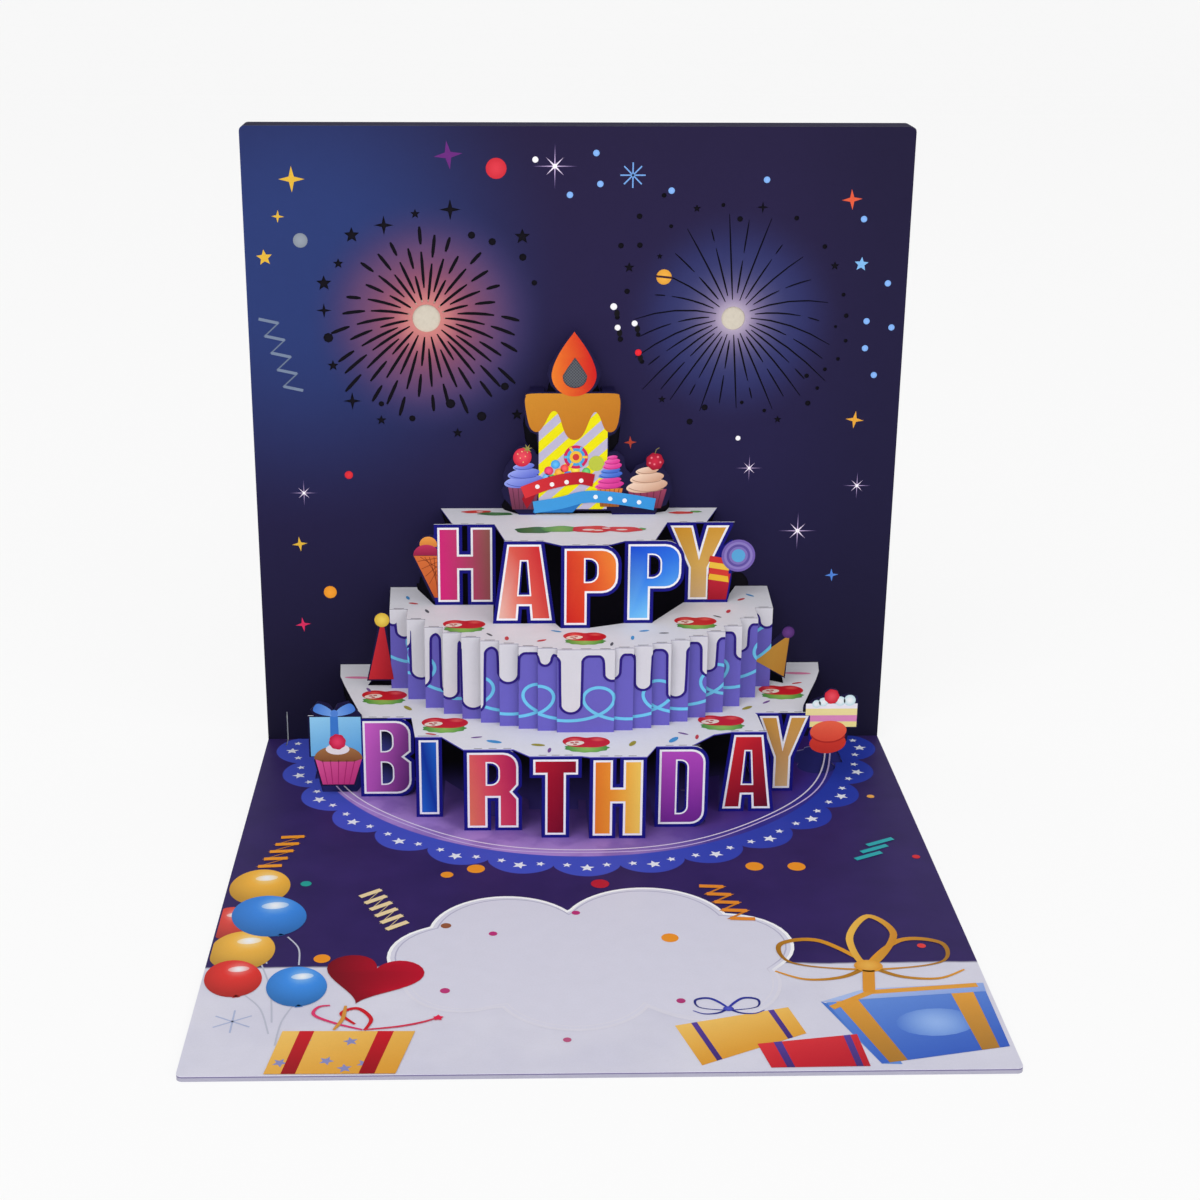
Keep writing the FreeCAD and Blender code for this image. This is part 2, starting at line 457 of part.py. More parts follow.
# Foam frame that keeps the back panel's depth, with a rib behind the lamps
FOAM_W = 7.0
rib_low, rib_high = FLAME[1] - 7.6, LEFT_BURST[1] + 8.3
side = CARD_W / 2 - COVER - FOAM_W
frame = prism(inner, FRONT, REAR)
frame = frame.cut([box(-side, side, 0, REAR + 1, FOAM_W - FRONT, rib_low),
                   box(-side, side, 0, REAR + 1, rib_high, PANEL - COVER - FOAM_W),
                   box(LEFT - 1, -side + 1, 0, REAR + 1, -FRONT - 1, BOARD_Z + BOARD_H + 6),
                   box(-side, side, 0, rib, rib_low - 1, rib_high + 1)])
pieces["foam_frame"] = frame.removeSplitter()

# Button cells in their holder
CELL_R, CELL_T, CELL_GAP = 5.8, 3.1, 0.9
HOLDER_FLOOR, HOLDER_EDGE = 0.6, 1.25
HOLDER_X, HOLDER_Z = -30.5, 20.2
pitch = 2 * CELL_R + CELL_GAP
cells = [(HOLDER_X + HOLDER_EDGE + CELL_R + pitch * k, HOLDER_Z + HOLDER_EDGE + CELL_R) for k in range(3)]
cell_y = REAR - HOLDER_FLOOR - CELL_T
holder = box(HOLDER_X, cells[2][0] + CELL_R + HOLDER_EDGE, cell_y + 0.4, REAR,
             HOLDER_Z, HOLDER_Z + 2 * (CELL_R + HOLDER_EDGE))
pieces["battery_holder"] = holder.cut([disc(x, z, CELL_R + 0.05, cell_y, REAR - HOLDER_FLOOR)
                                       for x, z in cells])
for k, (x, z) in enumerate(cells):
    pieces["button_cell_%d" % (k + 1)] = disc(x, z, CELL_R, cell_y, REAR - HOLDER_FLOOR)

# Speaker, facing the small holes in the cover
rim, dish = SPEAKER_R - 2.1, SPEAKER_R - 6.5
dish_y, MAGNET_R = REAR - 4.4, 6.5
pieces["speaker_frame"] = turned(*SPEAKER, [
    (SPEAKER_R, REAR), (SPEAKER_R, REAR - 0.6), (rim + 0.6, REAR - 1.2), (dish, dish_y), (0, dish_y),
    (0, dish_y + 0.6), (dish - 0.2, dish_y + 0.6), (rim, REAR - 0.7), (rim, REAR)])
pieces["speaker_cone"] = turned(*SPEAKER, [
    (rim, REAR - 0.65), (rim, REAR - 0.45), (rim - 1.6, REAR - 0.3), (5.0, REAR - 1.3), (2.5, REAR - 0.7),
    (0, REAR - 0.5), (0, REAR - 0.7), (2.4, REAR - 0.9), (5.0, REAR - 1.5), (rim - 1.6, REAR - 0.5)])
pieces["speaker_magnet"] = disc(*SPEAKER, MAGNET_R, dish_y - 1.4, dish_y)

# Cables, each from the sound board's face to the piece it feeds
CABLE_R = 0.45
AT_BOARD = BOARD_Y - CABLE_R - 0.05     # a cable's centre where it lies on the sound board
AT_LAMP = lamp_board - CABLE_R - 0.05   # and on a lamp's board
bx, bz = BOARD_X, BOARD_Z
for name, (x, z), turns in (
        ("left", LEFT_BURST,
         [(bx + 18.6, AT_BOARD, bz + 22), (bx + 18.6, AT_BOARD, bz + 27), (-50, REAR - 2.2, 70)]),
        ("flame", FLAME,
         [(bx + 24.6, AT_BOARD, bz + 22), (bx + 24.6, AT_BOARD, bz + 27), (-30, REAR - 2.4, 68)]),
        ("right", RIGHT_BURST,
         [(bx + 32.6, AT_BOARD, bz + 18), (bx + 37.6, AT_BOARD, bz + 21), (0, REAR - 2.6, 62)])):
    pieces[name + "_lamp_cable"] = cable(turns + [
        (x + (-2.4 if x < 0 else -4.8), rib - 0.1, rib_low - 4),
        (x, AT_LAMP, rib_low + 1.5), (x, AT_LAMP, z - 3.5)], CABLE_R)
pieces["speaker_cable"] = cable([
    (bx + 32.6, AT_BOARD, bz + 12), (bx + 37.6, AT_BOARD, bz + 15.2), (HOLDER_X + 0.5, REAR - 2.2, bz + 18),
    (-12, REAR - 3.4, 42), (SPEAKER[0] - 22, dish_y - 0.3, SPEAKER[1] + 1),
    (SPEAKER[0] - MAGNET_R - 0.1, dish_y - CABLE_R - 0.05, SPEAKER[1])], CABLE_R)
pieces["battery_cable"] = cable([
    (bx + 32.6, AT_BOARD, bz + 4), (HOLDER_X, AT_BOARD, bz + 4)], CABLE_R)

# Move the origin under the middle of the card and write one file for each piece
PLACE = V(0, (PANEL - BOX) / 2, FRONT + COVER)
for name, shape in pieces.items():
    solid = shape.Solids[0] if len(shape.Solids) == 1 else shape
    solid = solid.copy()
    solid.translate(PLACE)
    if solid.Volume < 0:
        solid.reverse()
    print(name, len(shape.Solids), "solids", round(solid.Volume, 2), "mm3", solid.isValid())
    solid.exportStep("parts/%s.step" % name)
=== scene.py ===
import math

import bpy
import numpy as np
from mathutils import Matrix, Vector
from mathutils.geometry import tessellate_polygon

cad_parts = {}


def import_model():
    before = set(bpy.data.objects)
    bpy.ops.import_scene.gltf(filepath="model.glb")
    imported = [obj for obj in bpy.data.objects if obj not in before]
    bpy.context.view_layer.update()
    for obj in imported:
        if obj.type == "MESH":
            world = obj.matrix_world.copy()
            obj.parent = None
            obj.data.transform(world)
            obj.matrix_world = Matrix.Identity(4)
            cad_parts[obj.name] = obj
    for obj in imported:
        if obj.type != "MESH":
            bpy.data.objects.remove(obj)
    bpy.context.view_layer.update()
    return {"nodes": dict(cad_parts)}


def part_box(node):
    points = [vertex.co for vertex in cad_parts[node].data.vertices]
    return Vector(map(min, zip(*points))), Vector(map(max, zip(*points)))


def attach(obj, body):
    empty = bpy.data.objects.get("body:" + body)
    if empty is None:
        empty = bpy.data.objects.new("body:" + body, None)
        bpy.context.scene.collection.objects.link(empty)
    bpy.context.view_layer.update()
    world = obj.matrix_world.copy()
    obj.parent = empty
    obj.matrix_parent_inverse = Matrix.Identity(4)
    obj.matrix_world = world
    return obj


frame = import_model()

# Pop up birthday card, opened square.
# Shapes are drawn in millimetres from the fold line: x to the right, y to the back, z up.
# The base's printed face is z = 0 and the back panel's printed face is y = 0.

MM = 0.001
SHEET = 0.35                # thickness of the printed sheet
sheet_low, sheet_high = (np.array(corner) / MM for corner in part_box("popup_sheet"))
FOLD = np.array([0.0, sheet_high[1] - SHEET, sheet_low[2] + SHEET])
HALF_W = sheet_high[0]      # half the card's width
PANEL = sheet_high[2] - FOLD[2]

# Construction that the print follows, as in the solids
TIER = (20.3, 40.7, 61.0)   # top faces of the three plates
MARGIN = 0.8                # plain edge around a letter
STRIP_X0, STRIP_X1 = -45.0, 47.0
STRIP_DEPTH = [16.0, 23.0, 28.4, 32.1, 35.1, 37.5, 39.5, 41.2, 42.4, 43.4]
STRIP_DEPTHS = STRIP_DEPTH + [STRIP_DEPTH[-1]] + STRIP_DEPTH[::-1]
STRIP_W = (STRIP_X1 - STRIP_X0) / len(STRIP_DEPTHS)
LEFT_BURST, RIGHT_BURST = (-35.6, 107.7), (36.8, 107.7)
CANDLE_D = 5.5
SIDE_D, SLICE_D, HAT_D, CONE_D, SWEETS_D = 34.3, 32.5, 16.0, 13.1, 11.9

# Letters: name, left, right, depth, then the inks of the shading in turn and its direction in x, z
LOWER = [
    ("B", -51.7, -38.9, 34.3, [(206, 98, 198), (170, 80, 170), (102, 48, 118)], (1, -0.25)),
    ("I", -38.1, -32.0, 45.6, [(22, 52, 150), (44, 126, 224), (24, 60, 164)], (1, -0.1)),
    ("R", -26.9, -13.7, 52.8, [(226, 118, 92), (216, 70, 96), (182, 34, 86)], (1, 0.2)),
    ("T", -12.0, -0.3, 56.7, [(182, 26, 48), (150, 18, 44), (116, 14, 40)], (1, -0.4)),
    ("H", 1.5, 14.3, 57.3, [(228, 120, 40), (240, 158, 54), (244, 200, 92)], (1, 0)),
    ("D", 16.8, 28.9, 51.6, [(182, 78, 188), (150, 56, 168), (112, 42, 140)], (0.2, -1)),
    ("A", 32.4, 45.2, 43.6, [(212, 40, 50), (160, 26, 44), (96, 18, 40)], (1, -0.8)),
    ("Y", 41.8, 55.1, 32.5, [(206, 150, 66), (204, 152, 92), (216, 176, 126)], (0.2, -1))]
UPPER = [
    ("H", -34.2, -19.6, 13.1, [(214, 36, 122), (186, 62, 106), (146, 92, 82)], (1, 0.1)),
    ("A", -20.2, -5.6, 26.2, [(232, 182, 170), (220, 100, 84), (206, 44, 50)], (1, 0.35)),
    ("P", -4.4, 9.6, 29.4, [(200, 38, 36), (220, 74, 40), (238, 132, 54)], (1, 0.3)),
    ("P", 10.5, 24.5, 26.2, [(28, 76, 208), (52, 124, 228), (120, 196, 244)], (0.5, -1)),
    ("Y", 21.4, 37.1, 11.9, [(206, 146, 46), (214, 168, 84), (206, 170, 124)], (0.2, -1))]

# Print on the base: the round mat's middle, radius and lobes in half a turn, and where the pale front begins
MAT_X, MAT_R, MAT_LOBES = 0.5, 66.0, 15
PALE_FRONT = -113.0

# Camera, fitted to the photograph: place in metres, turn, tip and roll in degrees, lens, and shift of the frame
CAMERA_AT = (-0.01712, -0.38957, 0.20331)
CAMERA_TURNS = (-1.495, 19.981, 0.274)
LENS, SHIFT = 59.31, (0.0378, 0.0090)

# Studio: each lamp's name, place, what it looks at, size and power
LAMPS = [("key", (-0.7, -1.1, 1.3), (0, 0.02, 0.05), 0.9, 9.4),
         ("fill", (0.9, -1.0, 0.9), (0, 0.02, 0.05), 1.0, 4.8),
         ("front", (0.0, -1.4, 0.5), (0, 0.05, 0.07), 0.8, 3.2)]
WORLD_LIGHT = 0.58          # plain light from all sides
FLOOR_WHITE = 0.85          # share of plain white in what the camera sees of the floor

# Inks
NAVY = (25, 22, 122)
WHITE = (240, 238, 244)
GOLD = (228, 182, 62)
RED = (212, 38, 50)
ORANGE = (240, 150, 40)
BLACK = (16, 14, 20)


def linear(ink):
    """Ink in display values from 0 to 255 as linear light: a power curve with a short straight foot."""
    c = np.asarray(ink, float) / 255.0
    return np.where(c <= 0.04045, c / 12.92, ((c + 0.055) / 1.055) ** 2.4)


def rgba(ink):
    return (*linear(ink), 1.0)


def toned(ink, times, plus=0.0):
    """A darker or lighter ink, kept within the range of display values."""
    return np.clip(np.asarray(ink, float) * times + plus, 0, 255)


# Flat shapes. Each returns points, n by 2 in millimetres on the paper, and its faces.

def grid_faces(rows, cols, closed=False):
    """Four-sided faces between neighbouring rows and columns of a grid; closed joins the last column to the
    first."""
    r, c = np.meshgrid(np.arange(rows - 1), np.arange(cols if closed else cols - 1), indexing="ij")
    r, c, d = r.ravel(), c.ravel(), (c.ravel() + 1) % cols
    return np.column_stack([r * cols + c, r * cols + d, (r + 1) * cols + d, (r + 1) * cols + c])


def ruled(a, b, steps=1):
    """Surface of two parameters: u along both curves, v in a straight line from curve a to curve b."""
    a, b = np.asarray(a, float), np.asarray(b, float)
    v = np.linspace(0, 1, steps + 1)[:, None, None]
    return ((1 - v) * a + v * b).reshape(-1, 2), [grid_faces(steps + 1, len(a))]


def band(path, width, closed=False):
    """Profile carried along a path: half the width to each side, set on the line that halves each corner and
    lengthened by the corner's cosine, so that the width stays even."""
    path = np.asarray(path, float)
    into, away = path - np.roll(path, 1, 0), np.roll(path, -1, 0) - path
    if not closed:
        into[0], away[-1] = away[0], into[-1]
    n1, n2 = (np.column_stack([-v[:, 1], v[:, 0]]) / np.hypot(*v.T)[:, None] for v in (into, away))
    side = (n1 + n2) / np.maximum(1.0 + (n1 * n2).sum(1), 0.3)[:, None]
    side = side * (0.5 * np.asarray(width)).reshape(-1, 1)
    return np.concatenate([path - side, path + side]), [grid_faces(2, len(path), closed)]


def polar(centre, radius, rings=1, stretch=(1.0, 1.0), turn=0.0):
    """Surface of ring and angle: the radius at each angle, times the ring's share, stretched, then turned."""
    m = len(radius)
    angle = 2 * np.pi * np.arange(m) / m + np.pi / 2
    share = np.arange(1, rings + 1)[:, None] / rings
    x = (share * radius * np.cos(angle) * stretch[0]).ravel()
    z = (share * radius * np.sin(angle) * stretch[1]).ravel()
    c, s = math.cos(math.radians(turn)), math.sin(math.radians(turn))
    points = np.column_stack([np.r_[0, c * x - s * z] + centre[0], np.r_[0, s * x + c * z] + centre[1]])
    i = np.arange(m)
    fan = np.column_stack([0 * i, 1 + i, 1 + (i + 1) % m])
    return points, [fan, grid_faces(rings, m, True) + 1] if rings > 1 else [fan]


def dot(centre, r, stretch=(1.0, 1.0), turn=0.0, rings=1, n=20):
    return polar(centre, np.full(n, float(r)), rings, stretch, turn)


def star(centre, points, r, inner=None, turn=0.0, stretch=(1.0, 1.0)):
    """Radius that steps between the tips and the notches of a star."""
    inner = (0.45 if points == 5 else 0.28) if inner is None else inner
    return polar(centre, np.where(np.arange(2 * points) % 2, inner * r, r), 1, stretch, turn)


def filled(outline, holes=()):
    """An outline with its holes, filled with triangles."""
    loops = [np.asarray(outline, float)] + [np.asarray(h, float) for h in holes]
    triangles = tessellate_polygon([[(x, z, 0.0) for x, z in loop] for loop in loops])
    return np.concatenate(loops), [np.array(triangles)]


def smooth(points, steps=6, closed=True):
    """Curve through given points: between two points, a cubic whose slopes come from the neighbours."""
    p = np.asarray(points, float)
    n = len(p) if closed else len(p) - 1
    at = (lambda k: p[(np.arange(n) + k) % len(p)]) if closed else (
        lambda k: p[np.clip(np.arange(n) + k, 0, len(p) - 1)])
    t = (np.arange(steps) / steps)[None, :, None]
    a, b, c, d = (at(k)[:, None, :] for k in (-1, 0, 1, 2))
    out = 2 * b + (c - a) * t + (2 * a - 5 * b + 4 * c - d) * t ** 2 + (3 * b - a - 3 * c + d) * t ** 3
    out = (0.5 * out).reshape(-1, 2)
    return out if closed else np.vstack([out, p[-1]])


def arc(centre, rx, ry, a0, a1, n=16):
    """Points on an ellipse from angle a0 to a1, in degrees."""
    a = np.radians(np.linspace(a0, a1, n))
    return np.column_stack([centre[0] + rx * np.cos(a), centre[1] + ry * np.sin(a)])


def scribble(sheet, place, start, end, strokes, reach, width, ink, layer):
    """Wide strokes side by side along a line, joined by thin ones that run back."""
    t = (np.arange(2 * strokes) // 2 / (strokes - 1))[:, None]
    corners = np.asarray(start, float) + t * (np.asarray(end, float) - start)
    corners[1::2] += reach
    sheet.add(band(corners, 0.45 * width), place, toned(ink, 0.9), layer)
    for a, b in zip(corners[::2], corners[1::2]):
        sheet.add(band([a, b], width), place, ink, layer + 1)


# Places on the paper

def upright(depth=0.0):
    """Flat points as x and z on the front of a panel that stands so far in front of the back panel."""
    return lambda p, off: np.column_stack([p[:, 0], np.full(len(p), -depth - off), p[:, 1]])


def level(height=0.0):
    """Flat points as x and y on a level panel at a height."""
    return lambda p, off: np.column_stack([p[:, 0], p[:, 1], np.full(len(p), height + off)])


def blend(t, inks):
    """Inks in turn at even steps of t from 0 to 1."""
    at = np.linspace(0, 1, len(inks))
    return np.column_stack([np.interp(t, at, [ink[k] for ink in inks]) for k in range(3)])


ROUND = "from the shape's first point, its middle, out to its edge"


def shade(points, inks, way):
    """Inks in turn across a shape: in a straight line of the given direction, or round its middle."""
    if way == ROUND:
        t = np.hypot(*(points - points[0]).T) ** 1.5
    else:
        t = points @ np.asarray(way, float)
    return blend((t - t.min()) / max(np.ptp(t), 1e-9), inks)


FIRST_LAYER, LAYER = 0.025, 0.012       # how far the inks stand off the paper


class Print:
    """Ink shapes on the paper, gathered into one mesh with an ink colour at each point."""

    def __init__(self, name):
        self.name, self.points, self.inks, self.quads, self.fans, self.count = name, [], [], [], [], 0

    def add(self, shape, place, ink, layer=0, way=(0, -1)):
        """Puts a flat shape on the paper, with each face turned to look away from it. The ink is one colour,
        a list of colours to shade through, or a colour for each point."""
        points, faces = shape
        ink = shade(points, ink, way) if isinstance(ink, list) else np.asarray(ink, float)
        for f in faces:
            x, y = points[f, 0], points[f, 1]
            area = (x * np.roll(y, -1, 1) - np.roll(x, -1, 1) * y).sum(1)
            f = np.where(area[:, None] < 0, f[:, ::-1], f)[np.abs(area) > 1e-9]
            (self.quads if f.shape[1] == 4 else self.fans).append(f + self.count)
        self.points.append(place(points, FIRST_LAYER + LAYER * layer))
        self.inks.append(np.broadcast_to(linear(ink), (len(points), 3)))
        self.count += len(points)

    def finish(self, material):
        points = (np.concatenate(self.points) + FOLD) * MM
        mesh = bpy.data.meshes.new(self.name)
        faces = [f for group in (self.quads, self.fans) for f in group]
        mesh.from_pydata(points.tolist(), [], [row for f in faces for row in f.tolist()])
        inks = np.column_stack([np.concatenate(self.inks), np.ones(self.count)])
        mesh.attributes.new("ink", "FLOAT_COLOR", "POINT").data.foreach_set("color", inks.ravel())
        mesh.materials.append(material)
        piece = bpy.data.objects.new(self.name, mesh)
        bpy.context.collection.objects.link(piece)
        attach(piece, "root")
        return piece


# Materials

def group_of(name, inputs, outputs):
    """A shader node group with named inputs and outputs."""
    tree = bpy.data.node_groups.new(name, "ShaderNodeTree")
    for label, kind, value in inputs:
        tree.interface.new_socket(label, in_out="INPUT", socket_type=kind).default_value = value
    for label, kind in outputs:
        tree.interface.new_socket(label, in_out="OUTPUT", socket_type=kind)
    return tree, tree.nodes.new("NodeGroupInput"), tree.nodes.new("NodeGroupOutput")


class Nodes:
    """Short calls for the nodes of one tree. Values and colours are given as sockets or plain numbers."""

    def __init__(self, tree):
        self.tree = tree

    def put(self, socket, value):
        if isinstance(value, bpy.types.NodeSocket):
            self.tree.links.new(value, socket)
        else:
            socket.default_value = value

    def new(self, kind, **settings):
        node = self.tree.nodes.new(kind)
        for key, value in settings.items():
            setattr(node, key, value)
        return node

    def math(self, operation, a, b=0.0, clamp=False):
        node = self.new("ShaderNodeMath", operation=operation, use_clamp=clamp)
        self.put(node.inputs[0], a)
        self.put(node.inputs[1], b)
        return node.outputs[0]

    def step(self, value, low, high, out_low=0.0, out_high=1.0):
        """Smooth step of a value between two bounds."""
        node = self.new("ShaderNodeMapRange", interpolation_type="SMOOTHSTEP")
        for k, v in enumerate((value, low, high, out_low, out_high)):
            self.put(node.inputs[k], v)
        return node.outputs[0]

    def mix(self, share, a, b, blend="MIX"):
        node = self.new("ShaderNodeMix", data_type="RGBA", blend_type=blend)
        self.put(node.inputs["Factor"], share)
        for socket, value in zip([s for s in node.inputs if s.type == "RGBA"], (a, b)):
            self.put(socket, value)
        return [s for s in node.outputs if s.type == "RGBA"][0]

    def ramp(self, value, stops):
        """Colours at places from 0 to 1."""
        node = self.new("ShaderNodeValToRGB")
        node.color_ramp.interpolation = "B_SPLINE" if len(stops) > 3 else "LINEAR"
        while len(node.color_ramp.elements) < len(stops):
            node.color_ramp.elements.new(0.5)
        for element, (at, ink) in zip(node.color_ramp.elements, stops):
            element.position, element.color = at, rgba(ink)
        self.put(node.inputs[0], value)
        return node.outputs[0]

    def noise(self, vector, scale, detail=2.0, rough=0.5):
        node = self.new("ShaderNodeTexNoise")
        self.put(node.inputs["Vector"], vector)
        self.put(node.inputs["Scale"], scale)
        self.put(node.inputs["Detail"], detail)
        self.put(node.inputs["Roughness"], rough)
        return node.outputs["Fac"]


def paper_group():
    """Paper under ink: fine fibres lift the surface, and a faint cloudiness varies the ink and the gloss."""
    tree, source, out = group_of(
        "paper_grain",
        [("Ink", "NodeSocketColor", (0.5, 0.5, 0.5, 1)), ("Cloud", "NodeSocketFloat", 0.1),
         ("Gloss", "NodeSocketFloat", 0.45)],
        [("Colour", "NodeSocketColor"), ("Roughness", "NodeSocketFloat"), ("Height", "NodeSocketFloat")])
    n = Nodes(tree)
    at = n.new("ShaderNodeTexCoord").outputs["Object"]
    cloud = n.noise(at, 260.0, 4.0, 0.6)
    fibre = n.noise(at, 2600.0, 3.0, 0.7)
    lift = n.math("MULTIPLY", n.math("SUBTRACT", cloud, 0.5), source.outputs["Cloud"])
    lift = n.math("ADD", lift, n.math("MULTIPLY", n.math("SUBTRACT", fibre, 0.5), 0.1))
    bright = n.new("ShaderNodeHueSaturation")
    n.put(bright.inputs["Color"], source.outputs["Ink"])
    n.put(bright.inputs["Value"], n.math("ADD", 1.0, lift))
    n.put(out.inputs["Colour"], bright.outputs["Color"])
    n.put(out.inputs["Roughness"], n.math("ADD", source.outputs["Gloss"], n.math("MULTIPLY", lift, 0.6)))
    n.put(out.inputs["Height"], n.math("ADD", fibre, n.math("MULTIPLY", cloud, 0.5)))
    return tree


PAPER = paper_group()


def start(name):
    """A material with its tree emptied down to a Principled BSDF and the output."""
    material = bpy.data.materials.new(name)
    material.use_nodes = True
    nodes = Nodes(material.node_tree)
    bsdf = [x for x in material.node_tree.nodes if x.type == "BSDF_PRINCIPLED"][0]
    return material, nodes, bsdf


def paper(nodes, bsdf, ink, cloud=0.1, gloss=0.45, bump=0.12):
    """Feeds a Principled BSDF with ink on paper."""
    grain = nodes.new("ShaderNodeGroup", node_tree=PAPER)
    nodes.put(grain.inputs["Ink"], ink)
    nodes.put(grain.inputs["Cloud"], cloud)
    nodes.put(grain.inputs["Gloss"], gloss)
    lift = nodes.new("ShaderNodeBump")
    nodes.put(lift.inputs["Strength"], bump)
    nodes.put(lift.inputs["Distance"], 0.00004)
    nodes.put(lift.inputs["Height"], grain.outputs["Height"])
    nodes.put(bsdf.inputs["Base Color"], grain.outputs["Colour"])
    nodes.put(bsdf.inputs["Roughness"], grain.outputs["Roughness"])
    nodes.put(bsdf.inputs["Normal"], lift.outputs["Normal"])
    bsdf.inputs["Specular IOR Level"].default_value = 0.08


def fold_place(n):
    """Object coordinates in millimetres from the fold line: the vector and its x, y and z."""
    at = n.new("ShaderNodeTexCoord").outputs["Object"]
    move = n.new("ShaderNodeMapping")
    n.put(move.inputs["Vector"], at)
    n.put(move.inputs["Scale"], (1 / MM,) * 3)
    n.put(move.inputs["Location"], tuple(-FOLD))
    parts = n.new("ShaderNodeSeparateXYZ")
    n.put(parts.inputs[0], move.outputs[0])
    return move.outputs[0], *parts.outputs


def distance(n, a, b, at):
    """Distance from a place, of two of the coordinates."""
    dx, dy = n.math("SUBTRACT", a, at[0]), n.math("SUBTRACT", b, at[1])
    return n.math("SQRT", n.math("ADD", n.math("MULTIPLY", dx, dx), n.math("MULTIPLY", dy, dy)))


def sky_ink(n, x, z):
    """Night sky: dark at the fold, indigo above, blue at the top left, with a glow round each burst."""
    ink = n.ramp(n.math("DIVIDE", z, PANEL),
                 [(0.0, (22, 19, 40)), (0.18, (29, 25, 54)), (0.45, (35, 31, 70)), (0.75, (39, 32, 70)),
                  (1.0, (35, 28, 61))])
    ink = n.mix(n.step(x, 40.0, 76.0, 0.0, 0.5), ink, rgba((25, 22, 48)))
    blue = n.step(distance(n, x, z, (-66.0, 120.0)), 66.0, 12.0)
    ink = n.mix(n.math("MULTIPLY", blue, 0.93), ink, rgba((43, 60, 116)))
    for at, reach, stops in (
            (LEFT_BURST, 29.0, [(0.0, (240, 156, 136)), (0.2, (188, 112, 120)), (0.32, (144, 82, 106)),
                                (0.45, (116, 74, 108)), (0.6, (90, 66, 108)), (0.75, (70, 58, 104)),
                                (1.0, (50, 54, 104))]),
            (RIGHT_BURST, 27.0, [(0.0, (226, 212, 226)), (0.14, (160, 144, 176)), (0.24, (112, 102, 142)),
                                 (0.36, (72, 72, 118)), (0.5, (50, 54, 104)), (0.7, (44, 46, 94)),
                                 (1.0, (42, 40, 80))])):
        far = distance(n, x, z, at)
        glow = n.ramp(n.math("DIVIDE", far, reach, True), stops)
        ink = n.mix(n.math("MULTIPLY", n.step(far, reach, reach * 0.55), 0.97), ink, glow)
    return ink


def base_ink(n, place, x, y):
    """Base: indigo ground, pale front, and a scalloped round mat whose rings are bands of distance. The mat is
    lavender at the left and turns to purple and blue at the right; towards its middle, under the tiers, it
    darkens as painted shade."""
    cloud = n.noise(place, 0.09, 3.0)
    ink = n.mix(cloud, rgba((40, 28, 78)), rgba((58, 42, 104)))
    edge = n.math("ADD", y, n.math("MULTIPLY", n.math("SUBTRACT", cloud, 0.5), 1.5))
    pale = n.mix(n.noise(place, 0.05), rgba((204, 203, 222)), rgba((226, 225, 236)))
    ink = n.mix(n.step(edge, PALE_FRONT, PALE_FRONT - 1.0), ink, pale)
    far = distance(n, x, y, (MAT_X, 0.0))
    angle = n.math("ARCTAN2", y, n.math("SUBTRACT", x, MAT_X))
    lobe = n.math("POWER", n.math("ABSOLUTE", n.math("SINE", n.math("MULTIPLY", angle, MAT_LOBES))), 0.6)
    rim = n.math("ADD", MAT_R + 4.6, n.math("MULTIPLY", lobe, 4.9))
    inside = n.math("SUBTRACT", rim, far)
    blue = n.mix(n.step(x, -10.0, 66.0), rgba((68, 82, 194)), rgba((42, 60, 168)))
    ink = n.mix(n.step(inside, -0.15, 0.15), ink, blue)
    share = n.math("DIVIDE", far, MAT_R, True)
    # Both ramps darken towards the mat's middle, under and behind the letters: painted shade.
    left = n.ramp(share, [(0.0, (40, 30, 78)), (0.70, (78, 58, 132)), (0.84, (142, 108, 190)),
                          (1.0, (182, 146, 220))])
    right = n.ramp(share, [(0.0, (30, 24, 64)), (0.70, (44, 32, 96)), (0.88, (76, 44, 132)),
                           (1.0, (46, 50, 144))])
    streak = n.step(n.noise(place, 0.12, 3.0), 0.42, 0.62)
    left = n.mix(n.math("MULTIPLY", streak, 0.45), left, rgba((112, 78, 166)))
    return n.mix(n.step(far, MAT_R + 0.15, MAT_R - 0.15), ink, n.mix(n.step(x, -6.0, 42.0), left, right))


